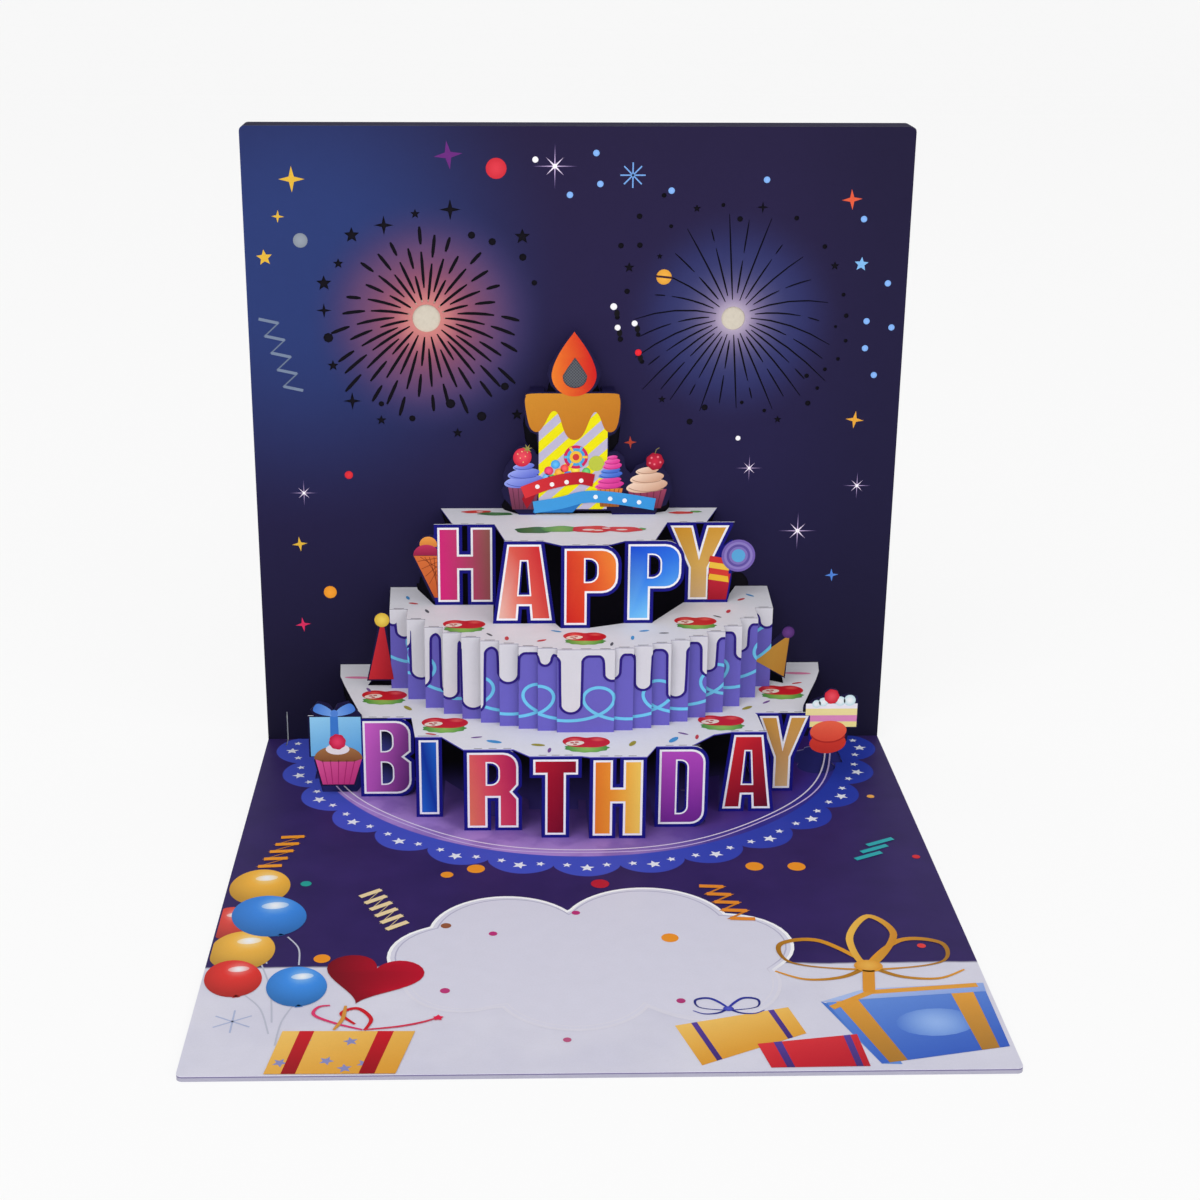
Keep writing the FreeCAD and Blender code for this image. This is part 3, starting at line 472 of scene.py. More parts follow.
def printed_card():
    """Sheet: one print whose fields follow the panel that each point belongs to; its reverse is bare."""
    material, n, bsdf = start("printed_card")
    place, x, y, z = fold_place(n)
    side = n.new("ShaderNodeSeparateXYZ")
    n.put(side.inputs[0], n.new("ShaderNodeTexCoord").outputs["Normal"])
    facing_up = n.math("GREATER_THAN", n.math("ABSOLUTE", side.outputs[2]), 0.5)
    off_tier = [n.math("ABSOLUTE", n.math("SUBTRACT", z, height)) for height in TIER]
    off_plate = n.math("MINIMUM", n.math("MINIMUM", *off_tier[:2]), off_tier[2])
    plate = n.math("MULTIPLY", facing_up, n.math("LESS_THAN", off_plate, 2 * SHEET))
    ink = rgba((28, 24, 60))                # rims of the figures
    letters_edge = 0.1
    for foot, head, x0, x1, field in (
            (-0.1, TIER[0] - 0.2, LOWER[0][1] - letters_edge, LOWER[-1][2] + letters_edge, NAVY),
            (TIER[1] - SHEET, TIER[2] + 0.2, UPPER[0][1] - letters_edge, UPPER[-1][2] + letters_edge, NAVY),
            (TIER[0] - 0.2, TIER[1] - SHEET, STRIP_X0, STRIP_X1, (106, 98, 190))):
        off_middle = n.math("ABSOLUTE", n.math("SUBTRACT", x, 0.5 * (x0 + x1)))
        between = n.math("MULTIPLY", n.math("GREATER_THAN", z, foot), n.math("LESS_THAN", z, head))
        inside = n.math("MULTIPLY", n.math("LESS_THAN", off_middle, 0.5 * (x1 - x0)), between)
        ink = n.mix(inside, ink, rgba(field))
    ink = n.mix(plate, ink, rgba((230, 229, 236)))
    ink = n.mix(n.math("GREATER_THAN", side.outputs[1], 0.5), ink, rgba((206, 202, 212)))
    ink = n.mix(n.math("GREATER_THAN", y, -0.05), ink, sky_ink(n, x, z))
    ink = n.mix(n.math("LESS_THAN", z, 0.05), ink, base_ink(n, place, x, y))
    ink = n.mix(n.math("LESS_THAN", z, -0.1), ink, rgba((120, 112, 150)))
    paper(n, bsdf, ink, 0.08, 0.5)
    return material


def plain_paper(name, inks, turn=None):
    """Coloured card that varies softly between two inks. Its level part may turn to further inks: which way
    each is measured, where it starts and ends, and the ink."""
    material, n, bsdf = start(name)
    place, x, y, z = fold_place(n)
    ink = n.mix(n.noise(place, 0.034, 3.0), rgba(inks[0]), rgba(inks[1]))
    on_base = n.step(y, -1.0, -3.0)
    for way, first, last, third in turn or ():
        share = n.step(n.math("ABSOLUTE", {"x": x, "y": y}[way]), first, last)
        ink = n.mix(n.math("MULTIPLY", share, on_base), ink, rgba(third))
    paper(n, bsdf, ink, 0.12, 0.72, 0.15)
    return material


def ink_material():
    """Ink laid on the paper, coloured by each point's own ink."""
    material, n, bsdf = start("ink")
    own = n.new("ShaderNodeAttribute", attribute_name="ink")
    paper(n, bsdf, own.outputs["Color"], 0.06, 0.38, 0.08)
    return material


def made_of(name, inks, roughness, metallic=0.0, grain=600.0, bump=0.1):
    """Plastic, metal or foam: two close colours in a noise of the given scale, which also lifts the
    surface."""
    material, n, bsdf = start(name)
    at = n.new("ShaderNodeTexCoord").outputs["Object"]
    spots = n.noise(at, grain, 4.0, 0.6)
    n.put(bsdf.inputs["Base Color"], n.mix(spots, rgba(inks[0]), rgba(inks[1])))
    vary = n.math("MULTIPLY", n.math("SUBTRACT", spots, 0.5), 0.2)
    n.put(bsdf.inputs["Roughness"], n.math("ADD", roughness, vary))
    bsdf.inputs["Metallic"].default_value = metallic
    lift = n.new("ShaderNodeBump")
    n.put(lift.inputs["Strength"], bump)
    n.put(lift.inputs["Distance"], 0.0001)
    n.put(lift.inputs["Height"], spots)
    n.put(bsdf.inputs["Normal"], lift.outputs["Normal"])
    return material


def mesh_film():
    """Flame window: dark net, a grid of fine threads worked out from the place on it."""
    material, n, bsdf = start("mesh_film")
    _, x, _, z = fold_place(n)
    wave = [n.math("SINE", n.math("MULTIPLY", n.math(way, x, z), 9.0)) for way in ("ADD", "SUBTRACT")]
    thread = n.step(n.math("MAXIMUM", *wave), 0.35, 0.85)
    n.put(bsdf.inputs["Base Color"], n.mix(thread, rgba((44, 46, 54)), rgba((92, 96, 104))))
    n.put(bsdf.inputs["Roughness"], n.math("SUBTRACT", 0.6, n.math("MULTIPLY", thread, 0.2)))
    return material


PRINTED = printed_card()
INK = ink_material()
FINISHES = {
    "printed_card": PRINTED,
    # Painted shade: on the base the dark card is black near the fold and turns indigo towards the front.
    "dark_card": plain_paper("dark_card", [(14, 12, 18), (22, 19, 30)],
                             [("y", 12.0, 44.0, (78, 66, 146)), ("x", 48.0, 53.0, (46, 46, 118)),
                              ("y", 132.0, 142.0, (172, 170, 188))]),
    "cover_card": plain_paper("cover_card", [(24, 20, 44), (32, 27, 60)],
                              [("y", 140.0, 146.0, (172, 170, 188))]),
    "foam": made_of("foam", [(214, 212, 206), (236, 234, 228)], 0.85, grain=1500.0, bump=0.6),
    "mesh_film": mesh_film(),
    "frosted_film": made_of("frosted_film", [(196, 186, 168), (220, 212, 196)], 0.5, grain=900.0, bump=0.3),
    "clear_strip": made_of("clear_strip", [(196, 202, 206), (222, 226, 230)], 0.25),
    "spring_brass": made_of("spring_brass", [(196, 152, 74), (222, 182, 96)], 0.3, 1.0, 900.0),
    "board": made_of("board", [(20, 88, 52), (34, 112, 66)], 0.4, grain=300.0),
    "black_resin": made_of("black_resin", [(14, 14, 15), (28, 28, 30)], 0.3, grain=200.0, bump=0.3),
    "steel": made_of("steel", [(176, 178, 182), (208, 210, 214)], 0.25, 1.0, 1200.0),
    "black_plastic": made_of("black_plastic", [(20, 20, 22), (34, 34, 37)], 0.45),
    "speaker_film": made_of("speaker_film", [(206, 196, 170), (226, 218, 196)], 0.35),
    "magnet": made_of("magnet", [(92, 92, 96), (120, 120, 124)], 0.4, 0.8, 700.0),
    "lamp": made_of("lamp", [(236, 224, 150), (250, 244, 200)], 0.35),
    "cable": made_of("cable", [(150, 24, 26), (182, 36, 36)], 0.45),
}
for node in frame["nodes"].values():
    for slot in node.material_slots:
        if slot.name in FINISHES:
            slot.material = FINISHES[slot.name]


# Letters

def grow(points, m):
    """A polygon with each side moved out by m, its corners kept sharp. Points run counter-clockwise."""
    p = np.asarray(points, float)
    into, away = p - np.roll(p, 1, 0), np.roll(p, -1, 0) - p
    n1, n2 = (np.column_stack([v[:, 1], -v[:, 0]]) / np.hypot(*v.T)[:, None] for v in (into, away))
    return p + m * (n1 + n2) / (1.0 + (n1 * n2).sum(1))[:, None]


def counter(x0, x1, z0, z1):
    """Hole of a letter: square at the left, round at the right."""
    q = 0.7 * (x1 - x0)
    low, high = arc((x1 - q, z0 + q), q, q, -90, 0, 6), arc((x1 - q, z1 - q), q, q, 0, 90, 6)
    return [(x0, z0)] + low.tolist() + high.tolist() + [(x0, z1)]


def glyph(letter, w, h):
    """Outline and holes of a plain block capital, w wide and h high, as in the solids."""
    s, r = 0.39 * w, 0.30 * w
    turn = lambda x, z, a0: arc((x, z), r, r, a0, a0 + 90, 6).tolist()
    if letter == "I":
        return [(0, 0), (w, 0), (w, h), (0, h)], []
    if letter == "H":
        return [(0, 0), (s, 0), (s, 0.43 * h), (w - s, 0.43 * h), (w - s, 0), (w, 0), (w, h),
                (w - s, h), (w - s, 0.64 * h), (s, 0.64 * h), (s, h), (0, h)], []
    if letter == "T":
        s = 0.46 * w
        return [(0.5 * (w - s), 0), (0.5 * (w + s), 0), (0.5 * (w + s), 0.8 * h), (w, 0.8 * h),
                (w, h), (0, h), (0, 0.8 * h), (0.5 * (w - s), 0.8 * h)], []
    if letter == "Y":
        return [(0.33 * w, 0), (0.67 * w, 0), (0.67 * w, 0.43 * h), (w, h), (0.62 * w, h),
                (0.5 * w, 0.64 * h), (0.38 * w, h), (0, h), (0.33 * w, 0.43 * h)], []
    if letter == "A":
        return [(0, 0), (0.38 * w, 0), (0.40 * w, 0.19 * h), (0.60 * w, 0.19 * h), (0.62 * w, 0),
                (w, 0), (0.80 * w, h), (0.20 * w, h)], \
               [[(0.40 * w, 0.34 * h), (0.60 * w, 0.34 * h), (0.55 * w, 0.78 * h), (0.45 * w, 0.78 * h)]]
    if letter == "D":
        return [(0, 0)] + turn(w - r, r, -90) + turn(w - r, h - r, 0) + [(0, h)], \
               [counter(s, w - s, 0.15 * h, 0.85 * h)]
    if letter == "P":
        b = 0.42 * h
        return [(0, 0), (s + 0.03 * w, 0), (s + 0.03 * w, b)] + turn(w - r, b + r, -90) + \
            turn(w - r, h - r, 0) + [(0, h)], [counter(s, w - s, b + 0.15 * h, 0.86 * h)]
    if letter == "R":
        return [(0, 0), (s, 0), (s, 0.40 * h), (w - s, 0.40 * h), (w - s, 0), (w, 0), (w, 0.39 * h),
                (0.88 * w, 0.48 * h), (w, 0.57 * h)] + turn(w - r, h - r, 0) + [(0, h)], \
            [counter(s, w - s, 0.58 * h, 0.86 * h)]
    return [(0, 0)] + turn(w - r, r, -90) + [(w, 0.44 * h), (0.86 * w, 0.51 * h), (w, 0.58 * h)] + \
        turn(w - r, h - r, 0) + [(0, h)], \
        [counter(s, w - s, 0.14 * h, 0.43 * h), counter(s, w - s, 0.59 * h, 0.86 * h)]


WHITE_LINE = 0.5            # width of the white line round a letter's colour


def letters():
    """White letter on the plain edge of the paper, with its shaded colour inside the white. The two holes of
    the B are painted dark, blue at the foot to black at the top, as painted shade of the step behind them."""
    sheet = Print("letter_print")
    for row, foot, head in [(r, 0.0, TIER[0]) for r in LOWER] + [(r, TIER[1], TIER[2]) for r in UPPER]:
        name, x0, x1, depth, inks, way = row
        at = upright(depth)
        outer, holes = glyph(name, x1 - x0 - 2 * MARGIN, head - foot - 2 * MARGIN)
        outer, *holes = (np.asarray(loop, float) + (x0 + MARGIN, foot + MARGIN) for loop in (outer, *holes))
        sheet.add(filled(outer, holes), at, WHITE)
        inner = filled(grow(outer, -WHITE_LINE), [grow(h, 0.7 * WHITE_LINE) for h in holes])
        sheet.add(inner, at, inks, 1, way)
        if name == "B":
            for hole in holes:
                # Painted shade: each hole of the B filled dark, blue at the foot to black at the top.
                sheet.add(filled(hole), at, [(58, 60, 128), (14, 12, 24)], 0, (0, 1))
    return sheet.finish(INK)


# Tier of strips

# Icing that runs down: left, right, lowest point
DRIPS = [(-45.2, -43.2, 37.0), (-43.3, -39.9, 33.8), (-39.6, -35.2, 26.0), (-32.3, -28.6, 24.6),
         (-27.3, -22.4, 23.2), (-18.8, -14.6, 31.4), (-9.4, -7.2, 36.8), (-4.6, -0.2, 25.4), (5.4, 8.6, 33.4),
         (12.6, 15.9, 30.2), (20.2, 24.2, 26.8), (28.4, 31.8, 31.2), (37.0, 40.2, 32.6), (44.2, 47.2, 36.0)]
GAP_TOP = 39.4              # top of the gaps between the drips
DRIP_LINE = 0.6             # width of the dark line under the icing
ICING = (215, 213, 221)


def icing_edge(x):
    """Lower edge of the icing at x: the lowest of the drips, each a straight drop with a round end,
    joined to the gaps by the same round turned over."""
    low = np.full(len(x), GAP_TOP)
    for x0, x1, bottom in DRIPS:
        half = 0.5 * (x1 - x0)
        u = np.abs(x - 0.5 * (x0 + x1)) / half
        round_end = bottom + half * (1 - np.sqrt(np.clip(1 - u ** 2, 0, 1)))
        flare = 1 - np.clip((u - 1) / 0.9, 0, 1)
        side = np.where(u <= 1, round_end, GAP_TOP - 2.2 * (1 - np.sqrt(1 - flare ** 2)))
        low = np.minimum(low, side)
    return low


def lowered(x, edge, by):
    """The edge moved down and out by one distance all round: the lowest circle of that radius centred on it."""
    gap = np.abs(x[:, None] - x[None, :])
    drop = np.where(gap < by, edge[None, :] - np.sqrt(np.clip(by ** 2 - gap ** 2, 0, None)), np.inf)
    return drop.min(1)


def squiggle():
    """Piped line: a trochoid, a point on a wheel's long spoke as the wheel rolls along, which makes the loops.
    Towards the sides of the cake the loops climb. Given with the number of the loop at each point."""
    t = np.linspace(-3.2, 3.8, 1300) * 2 * np.pi
    x = 4.0 + 2.2 * (t - np.pi) + 6.6 * np.sin(t)
    z = 27.3 + 4.5 * (np.abs(x - 1.0) / 44.0) ** 4 - 4.1 * np.cos(t)
    return np.column_stack([x, z]), 3.2 + t / (2 * np.pi)


def strip_print():
    """White icing over violet strips, with a dark line under it, and a pale blue piped line."""
    sheet = Print("strip_print")
    fine = np.linspace(STRIP_X0, STRIP_X1, 1400)
    edge = icing_edge(fine)
    line = lowered(fine, edge, DRIP_LINE)
    path, lap = squiggle()
    piped, (faces,) = band(path, 0.75)
    lap = np.tile(lap, 2)
    for k, depth in enumerate(STRIP_DEPTHS):
        x0, x1 = STRIP_X0 + k * STRIP_W, STRIP_X0 + (k + 1) * STRIP_W
        x = np.linspace(x0, x1, 45)
        top = np.full(len(x), TIER[1] - 0.02)
        for low, ink, layer in ((line, (46, 30, 124), 10), (edge, ICING, 11)):
            bottom = np.column_stack([x, np.interp(x, fine, low)])
            shape = ruled(np.column_stack([x, top]), bottom, 3)
            sheet.add(shape, upright(depth), ink, layer)
        own = faces[np.abs(piped[faces, 0].mean(1) - 0.5 * (x0 + x1)) < 0.5 * STRIP_W + 0.6]
        on_strip = np.column_stack([np.clip(piped[:, 0], x0, x1), piped[:, 1]])
        sheet.add((on_strip, [own]), upright(depth), (112, 198, 238), lap)
    return sheet.finish(INK)


# Plates

DASH_IN, DASH_W = 0.5, 0.25     # how far the dashes of a fold lie in from it, and their width


def fruit(sheet, centre, size, height):
    """Slice of strawberry over kiwi: the radius of the red shape dips above and below its middle, the green
    one waves round its edge, and a cream slice with seeds lies at the left."""
    x, y = centre
    at, a = level(height), 2 * np.pi * np.arange(48) / 48
    sheet.add(polar((x, y - 0.42 * size), size * (0.96 + 0.05 * np.sin(11 * a)), 2, (1.0, 0.52)), at,
              [(158, 200, 96), (60, 136, 56)], 0, ROUND)
    waist = 1 - 0.36 * np.exp(-(np.sin(0.5 * a) / 0.22) ** 2) - 0.12 * np.exp(-(np.cos(0.5 * a) / 0.2) ** 2)
    red = polar((x, y + 0.22 * size), 1.04 * size * waist, 3, (1.0, 0.66), -3.0)
    sheet.add(red, at, (206, 32, 44), 1)
    for side in (-0.5, 0.52):
        sheet.add(dot((x + side * size, y + 0.44 * size), 0.36 * size, (1.0, 0.5), rings=2), at,
                  [(236, 92, 84), (206, 32, 44)], 2, ROUND)
    sheet.add(dot((x - 0.5 * size, y + 0.06 * size), 0.36 * size, (1.15, 0.7), 12.0), at, (242, 226, 212), 3)
    for dx, dy in ((-0.62, 0.1), (-0.42, 0.16), (-0.5, -0.06)):
        sheet.add(dot((x + dx * size, y + dy * size), 0.07 * size, (1.4, 1.0), n=8), at, (188, 52, 52), 4)


def plate_print():
    """Fruit, sprinkles and the marks of the perforations on the level plates."""
    sheet = Print("plate_print")
    low, middle, top = TIER
    for height, size, places in (
            (low, 5.2, [(-46.5, -21.5), (-31.5, -38.5), (1.0, -50.0), (33.0, -38.0), (49.5, -19.5)]),
            (middle, 4.8, [(-27.0, -27.5), (1.0, -36.0), (27.5, -26.0)])):
        for x, y in places:
            fruit(sheet, (x, y), size, height)
    at = level(top)
    for x, y, r, flat_by, first, last, layer in (
            (-10.2, -17.8, 4.8, 0.5, (78, 122, 74), (48, 96, 56), 1),
            (-4.2, -17.0, 4.6, 0.5, (140, 184, 96), (74, 142, 66), 2),
            (3.4, -17.3, 5.0, 0.52, (226, 70, 62), (204, 36, 48), 3),
            (10.6, -17.5, 4.4, 0.46, (232, 84, 72), (206, 38, 48), 4),
            (14.8, -17.2, 1.2, 0.7, (120, 180, 88), (84, 150, 66), 3),
            (-24.2, -3.0, 3.6, 0.3, (228, 72, 60), (206, 40, 44), 1),
            (-19.6, -4.8, 4.2, 0.3, (84, 130, 84), (50, 100, 58), 2),
            (25.4, -4.2, 3.0, 0.34, (228, 84, 76), (204, 40, 48), 1),
            (29.0, -3.4, 1.4, 0.5, (120, 176, 90), (70, 140, 64), 2)):
        a = 2 * np.pi * np.arange(32) / 32
        leaf = polar((x, y), r * (1 + 0.07 * np.sin(5 * a + x)), 2, (1.0, flat_by), 3.0 * math.sin(x))
        sheet.add(leaf, at, [first, last], layer, ROUND)
    for x, y, r in ((2.4, -17.8, 0.9), (4.6, -18.2, 0.7), (6.6, -16.6, 0.6), (10.2, -17.8, 0.8),
                    (-23.4, -3.2, 0.5)):
        sheet.add(dot((x, y), r, (1.7, 0.7), n=12), at, (240, 222, 216), 5)
    for place in ((-53.5, -9.0), (55.0, -7.5)):
        sheet.add(dot(place, 3.4, (1.0, 0.22), -4.0, 2), level(low), (226, 130, 170), 0)
    inks = [(200, 60, 70), (70, 150, 210), (160, 150, 50), (120, 80, 150), (90, 90, 100)]
    sprinkles = {        # place, half length, and which ink
        low: [(-40.5, -28.5, 1.3, 2), (-50.5, -17.0, 0.8, 3), (-24.0, -46.0, 0.8, 3), (-20.0, -48.5, 1.5, 1),
              (-10.0, -50.5, 1.3, 2), (-7.5, -53.5, 0.8, 3), (11.5, -50.0, 1.3, 2), (21.0, -48.0, 1.5, 1),
              (23.5, -44.5, 0.8, 3), (40.0, -29.5, 1.3, 2), (45.0, -26.0, 0.8, 3), (54.0, -14.0, 0.8, 0),
              (-34.5, -44.0, 0.8, 0), (26.5, -46.5, 0.8, 0)],
        middle: [(-39.5, -12.0, 1.0, 0), (-36.0, -17.5, 0.8, 4), (-41.0, -8.0, 0.8, 1), (-17.0, -36.0, 1.0, 0),
                 (-21.0, -33.5, 0.7, 4), (-9.0, -37.5, 1.0, 0), (-5.5, -31.5, 0.8, 1), (12.0, -36.0, 0.8, 1),
                 (15.0, -31.5, 1.0, 1), (19.5, -33.0, 0.7, 4), (36.0, -18.5, 1.0, 0), (40.0, -10.0, 1.0, 0),
                 (33.0, -22.0, 0.7, 4), (7.0, -40.0, 0.7, 4), (42.5, -7.0, 0.8, 1)]}
    for height, marks in sprinkles.items():
        for x, y, r, ink in marks:
            long_one = 1.7 if r < 0.9 else 1.25
            sheet.add(dot((x, y), r, (long_one, 0.5), 37.0 * x, n=12), level(height), inks[ink], 2)

    def dash(x, depth, half, height, ink):
        y = DASH_IN - depth
        sheet.add(band([(x - half, y), (x + half, y)], DASH_W), level(height), ink, 1)

    for k, depth in enumerate(STRIP_DEPTHS):
        dash(STRIP_X0 + (k + 0.5) * STRIP_W, depth, 1.2, middle, (104, 100, 112))
    for row, height in [(r, low) for r in LOWER] + [(r, top) for r in UPPER]:
        for share in (0.25, 0.5, 0.75):
            dash(row[1] + share * (row[2] - row[1]), row[3], 0.9, height, (120, 116, 128))
    return sheet.finish(INK)


# Sky

def sparkle(sheet, x, z, r):
    """Four long thin rays that fade to the sky and four short bright ones."""
    k = np.arange(16) % 4
    long_rays = polar((x, z), r * np.where(k == 0, 1.0, np.where(k == 2, 0.06, 0.07)))
    sheet.add(long_rays, upright(), [(214, 190, 232), (104, 84, 150)], 0, ROUND)
    short = polar((x, z), np.where(np.arange(8) % 2, 0.06 * r, 0.56 * r), 1, turn=45.0)
    sheet.add(short, upright(), [(250, 240, 252), (206, 184, 226)], 1, ROUND)
    sheet.add(dot((x, z), 0.1 * r), upright(), (255, 250, 255), 2)


def sky_print():
    sheet = Print("sky_print")
    stars = [(4, -66.0, 140.0, 3.0, GOLD), (4, -69.5, 131.5, 1.5, GOLD), (4, 67.0, 83.0, 2.2, (232, 166, 60)),
             (4, -67.5, 52.0, 1.9, GOLD), (4, -30.0, 145.5, 3.3, (104, 42, 122)),
             (4, 63.5, 135.5, 2.4, (226, 92, 62)), (4, 13.0, 77.5, 1.6, (196, 72, 52)),
             (4, 63.5, 43.5, 1.7, (84, 134, 220)), (4, -67.5, 31.0, 1.9, (222, 48, 96)),
             (5, -73.0, 122.0, 1.9, GOLD), (5, 66.5, 120.5, 1.7, (128, 184, 236))]
    for points, x, z, r, ink in stars:
        sheet.add(star((x, z), points, r, turn=7.0 * math.sin(x)), upright(), ink, 0)
    dots = [(-64.5, 126.0, 1.7, (132, 140, 152)), (-19.0, 142.5, 2.4, (206, 44, 58)),
            (-10.0, 144.5, 0.7, WHITE), (39.0, 78.5, 0.6, WHITE), (-55.0, 69.5, 1.0, RED),
            (-60.5, 39.5, 1.6, ORANGE), (8.5, 110.5, 0.8, WHITE),
            (9.5, 105.5, 0.7, WHITE), (13.5, 106.5, 0.7, WHITE), (14.5, 99.5, 0.8, (226, 30, 44)),
            (20.2, 117.5, 1.8, (226, 160, 56))]
    dots += [(x, z, 0.75, (122, 168, 232)) for x, z in
             ((4.0, 146.0), (5.0, 139.0), (-2.0, 136.5), (21.5, 137.5), (43.5, 140.0), (66.5, 131.0),
              (73.0, 116.0), (68.5, 107.0), (74.5, 105.5), (68.5, 100.5), (71.0, 94.0))]
    for x, z, r, ink in dots:
        shape = dot((x, z), r, rings=2)
        sheet.add(shape, upright(), [toned(ink, 1.0, 18), ink], 1, ROUND)
    for x, z in ((9.3, 108.9), (10.0, 104.2), (14.2, 105.2), (15.0, 98.2)):
        sheet.add(dot((x, z), 0.8, (0.8, 1.1)), upright(), BLACK, 0)
    sheet.add(band([(18.2, 117.7), (22.2, 117.3)], 0.5), upright(), (60, 34, 50), 2)
    for turn in range(0, 180, 45):
        c, s = 2.9 * math.cos(math.radians(turn)), 2.9 * math.sin(math.radians(turn))
        sheet.add(band([(12.5 - c, 141 - s), (12.5 + c, 141 + s)], 0.32), upright(), (118, 166, 230), 0)
    scribble(sheet, upright(), (-75.0, 107.6), (-69.8, 91.4), 5, (4.6, -1.0), 0.7, (118, 132, 158), 0)
    for x, z, r in ((-5.5, 143.0, 5.2), (42.0, 71.0, 3.4), (68.5, 66.5, 3.5), (54.5, 55.0, 4.8),
                    (-66.0, 65.0, 3.4)):
        sparkle(sheet, x, z, r)
    return sheet.finish(INK)


# Base

def balloon(sheet, x, y, rx, ry, turn, ink, layer):
    """Egg shape turned towards its knot, shaded from a bright middle to its own ink, with a soft bright spot.
    Where it would pass the card's edge, its radius ends there."""
    a = 2 * np.pi * np.arange(40) / 40
    reach = 1 - 0.10 * np.cos(a) + 0.05 * np.cos(2 * a)
    shape = polar((x, y), reach, 5, (rx, ry), turn)
    shape[0][:, 0] = np.maximum(shape[0][:, 0], 0.4 - HALF_W)
    spot = np.array((x + 0.15 * rx, y + 0.42 * ry))
    t = (np.hypot(*((shape[0] - spot) / (rx, ry)).T) / 1.5).clip(0, 1)
    light = toned(ink, 0.5, 128)
    sheet.add(shape, level(), blend(t, [light, ink, toned(ink, 0.9), toned(ink, 0.76)]), layer)
    sheet.add(dot(spot, 0.3 * rx, (1.2, 0.62), 8.0, 3), level(), [(246, 248, 252), light], layer + 0.5, ROUND)
    down = math.radians(turn - 90)
    tip = (x + 1.12 * rx * math.cos(down), y + 1.12 * ry * math.sin(down))
    sheet.add(polar(tip, np.array([0.5, 1.0, 1.0]), 1, turn=turn), level(), toned(ink, 0.8), layer)


def parcel(sheet, corners, ink, dark, ribbons, ribbon_ink, layer):
    """Wrapped box: a field between its left and right edges, with ribbons at shares of its width."""
    a, b, c, d = (np.asarray(p, float) for p in corners)     # top left, top right, bottom right, bottom left
    left, right = np.linspace(a, d, 7), np.linspace(b, c, 7)
    body = ruled(left, right, 6)
    sheet.add(body, level(), [ink, dark], layer, (0.4, -1))
    for u0, u1 in ribbons:
        strip = ruled(left + u0 * (right - left), left + u1 * (right - left), 2)
        sheet.add(strip, level(), [ribbon_ink, toned(ribbon_ink, 0.75)], layer + 1)


def bow(sheet, x, y, size, ink, layer, width=0.14):
    """Ribbon bow: two loops and two tails, each a smooth path with a ribbon's width."""
    for side in (-1, 1):
        reach = np.array((side * size, size))
        loop = smooth((x, y) + reach * ((0, 0), (0.5, 0.62), (1.0, 0.55), (0.95, 0.12), (0.4, -0.05)), 8)
        t = np.linspace(0, 2 * np.pi, len(loop))
        shape = band(loop, width * size * (0.75 + 0.35 * np.sin(t)), True)
        sheet.add(shape, level(), [ink, toned(ink, 0.72)], layer, (side, -0.4))
        tail = smooth((x, y) + reach * ((0, 0), (0.35, -0.25), (0.8, -0.3), (1.15, -0.1)), 8, False)
        shape = band(tail, width * size * np.linspace(1.0, 0.35, len(tail)))
        sheet.add(shape, level(), [toned(ink, 0.72), ink], layer, (side, 0))
    knot = dot((x, y), 0.16 * size, (1.1, 0.9), rings=2)
    sheet.add(knot, level(), [toned(ink, 1.0, 30), ink], layer + 1, ROUND)


def mat_print():
    """Stars on the mat's blue edge, a large one between two small ones in each lobe, and thin white rings."""
    sheet = Print("mat_print")
    step = 180 / MAT_LOBES
    for k in range(MAT_LOBES):
        middle = 180 + (k + 0.5) * step
        for turn, r, out in ((-0.3 * step, 1.1, 4.3), (0.0, 1.7, 5.6), (0.3 * step, 1.1, 4.3)):
            a = math.radians(middle + turn)
            x, y = MAT_X + (MAT_R + out) * math.cos(a), (MAT_R + out) * math.sin(a)
            sheet.add(star((x, y), 5, r, turn=20.0 * k + turn), level(), (236, 238, 248), 1)
    a = np.radians(np.linspace(184, 356, 200))
    for out, wave, ink in ((-2.9, 0.25, (232, 222, 242)), (-1.4, 0.5, (206, 186, 232))):
        reach = MAT_R + out + wave * np.sin(9 * a)
        sheet.add(band(np.column_stack([MAT_X + reach * np.cos(a), reach * np.sin(a)]), 0.38), level(), ink, 0)
    return sheet.finish(INK)


def cloud_outline(n=120):
    """Cloud: along each ray from its middle, the farthest point of any of its round lobes."""
    middle = np.array((-1.0, -108.0))
    lobes = np.array([(-29.0, -109.5, 12.5), (-17.5, -100.5, 16.0), (12.0, -99.0, 18.0), (29.0, -105.5, 12.5),
                      (22.0, -120.0, 15.0), (-4.0, -122.0, 16.0), (-26.0, -119.0, 12.0)])
    a = 2 * np.pi * np.arange(n) / n + np.pi / 2
    ray = np.column_stack([np.cos(a), np.sin(a)])
    offset = lobes[:, :2] - middle
    along = ray @ offset.T
    square = along ** 2 - (offset ** 2).sum(1) + lobes[:, 2] ** 2
    return middle, np.where(square > 0, along + np.sqrt(np.clip(square, 0, None)), 0).max(1)


